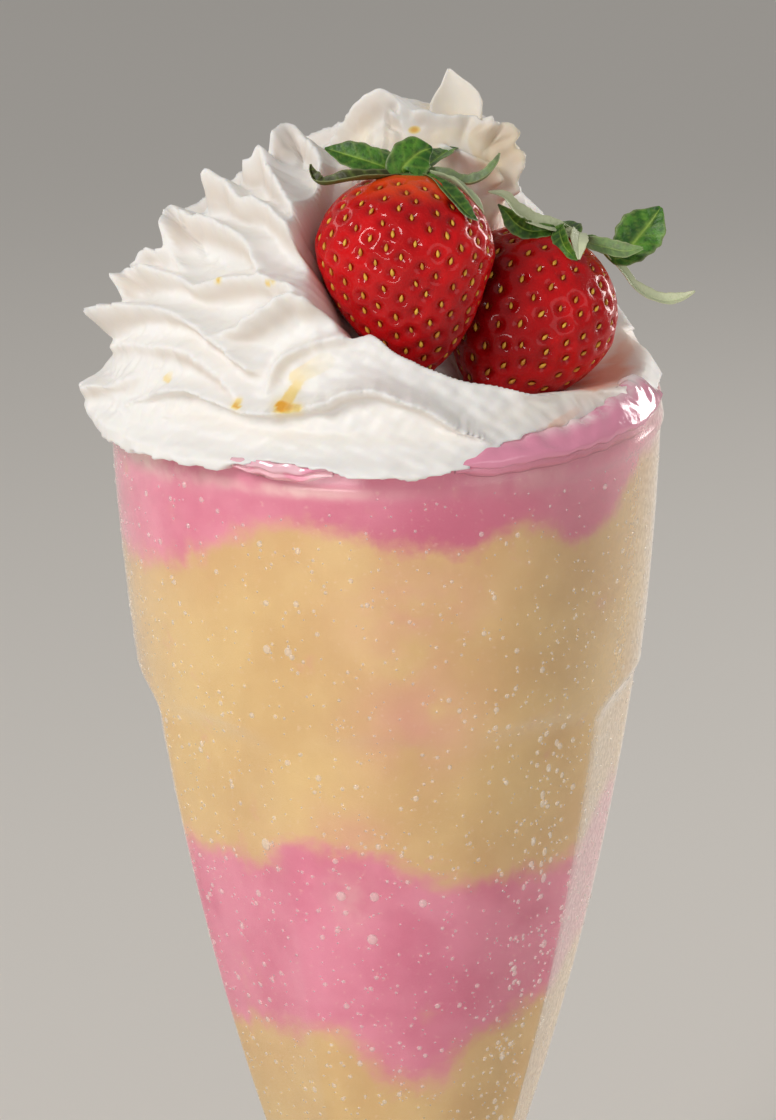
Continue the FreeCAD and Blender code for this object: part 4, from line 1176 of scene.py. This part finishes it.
def make_drops():
    paint = drop_paint()
    pick = np.random.default_rng(23)

    def scatter(count, low, high, band=None, long=1.25):
        """Drops between two sizes, over the bowl or in a band: middle bearing, its spread, heights."""
        frames = []
        for _ in range(count):
            if band:
                bearing, z = pick.normal(band[0], band[1]), pick.uniform(band[2], band[3])
            else:
                bearing = pick.uniform(-180, 180)
                z = RIM - 5 - (RIM - 66) * pick.uniform(0, 1) ** 0.9
            size = low + (high - low) * pick.uniform(0, 1) ** 2.2
            scale = np.array([size, size * pick.uniform(0.95, long), size * 0.8])
            frames.append((*surface_frame(bearing, z), scale))
        return frames

    small = scatter(3300, 0.14, 0.28) + scatter(150, 0.16, 0.3, (42, 6, 70, 172))
    small += scatter(300, 0.14, 0.28, (-76, 9, 70, 180))
    large = scatter(1150, 0.26, 0.52) + scatter(60, 0.3, 0.55, (43, 4, 68, 150), 1.9)
    for bearing, z, size in BIG_DROPS:
        large.append((*surface_frame(bearing, z), np.array([size, size * 1.15, size * 0.7])))
    add_mesh("drops_small", *copies(*drop_mesh(8, 2), small), paint, "clear_glass")
    add_mesh("drops_large", *copies(*drop_mesh(12, 3), large), paint, "clear_glass")


# ---------------------------------------------------------------- stage, in metres

FLOOR_SIDE, FLOOR_STEPS = 25.0, 24
WORLD_COLOUR, WORLD_STRENGTH = (1.0, 0.985, 0.965, 1), 0.33
AIM = (0, 0, 0.17)
# Lamps: name, place, aim, width, height, power, colour and spread in degrees.
LAMPS = [
    ("key", (-0.72, -0.8, 0.9), AIM, 0.34, 0.4, 7.3, (1.0, 0.985, 0.97), 180),
    ("fill", (0.9, -1.0, 0.25), AIM, 0.8, 0.8, 0.9, (1.0, 0.98, 0.97), 110),
    ("low", (-0.45, -1.1, 0.06), (0, 0, 0.11), 0.5, 0.1, 0.6, (1.0, 0.98, 0.96), 110),
    ("edge", (0.8, 0.72, 0.22), AIM, 0.3, 0.7, 2.5, (1.0, 0.97, 0.93), 110),
    ("left_edge", (-0.8, 0.45, 0.35), AIM, 0.2, 0.8, 0.55, (1.0, 0.98, 0.95), 110),
]
CAMERA_LENS, CAMERA_FAR, CAMERA_ROLL = 233.8, 1.2, math.radians(-0.8)


def make_stage():
    ticks = np.linspace(-FLOOR_SIDE, FLOOR_SIDE, FLOOR_STEPS + 1)
    row = FLOOR_STEPS + 1
    corners = [j * row + i for j in range(FLOOR_STEPS) for i in range(FLOOR_STEPS)]
    mesh = bpy.data.meshes.new("floor")
    mesh.from_pydata([(x, y, 0.0) for y in ticks for x in ticks], [],
                     [[k, k + 1, k + row + 1, k + row] for k in corners])
    mesh.materials.append(floor_paint())
    add_object("floor", mesh)
    world = bpy.data.worlds.new("soft_light")
    world.use_nodes = True
    background = world.node_tree.nodes["Background"].inputs
    background[0].default_value, background[1].default_value = WORLD_COLOUR, WORLD_STRENGTH
    bpy.context.scene.world = world
    for name, place, aim, width, height, power, colour, spread in LAMPS:
        light = bpy.data.lights.new(name, "AREA")
        light.shape = "RECTANGLE"
        light.size, light.size_y = width, height
        light.energy, light.color, light.spread = power, colour, math.radians(spread)
        lamp = add_object(name, light)
        lamp.location = place
        lamp.rotation_euler = (Vector(aim) - Vector(place)).to_track_quat("-Z", "Y").to_euler()


def make_camera():
    data = bpy.data.cameras.new("camera")
    data.sensor_width = 36.0
    data.lens = CAMERA_LENS
    data.clip_end = 30.0
    camera = add_object("camera", data)
    away = Vector((0.0, -math.cos(VIEW_TILT), math.sin(VIEW_TILT)))
    camera.location = Vector((0.0, 0.0, (RIM - 29.4) * MM)) + away * CAMERA_FAR
    turn = (-away).to_track_quat("-Z", "Y").to_matrix()
    camera.rotation_euler = (turn @ Matrix.Rotation(CAMERA_ROLL, 3, "Z")).to_euler()
    bpy.context.scene.camera = camera


# ---------------------------------------------------------------- whole drink

make_glass()
make_drink()
skin, seed_skin, leaf_skin = berry_paint(), seed_paint(), leaf_paint()
for side in ("left", "right"):
    make_berry(side, skin, seed_skin)
    make_leaves(side, leaf_skin)
cream = cream_paint()
make_mound(cream)
make_top(cream)
make_tongue(cream)
make_smears()
make_drops()
make_stage()
make_camera()

bpy.context.scene.view_settings.view_transform = "Standard"
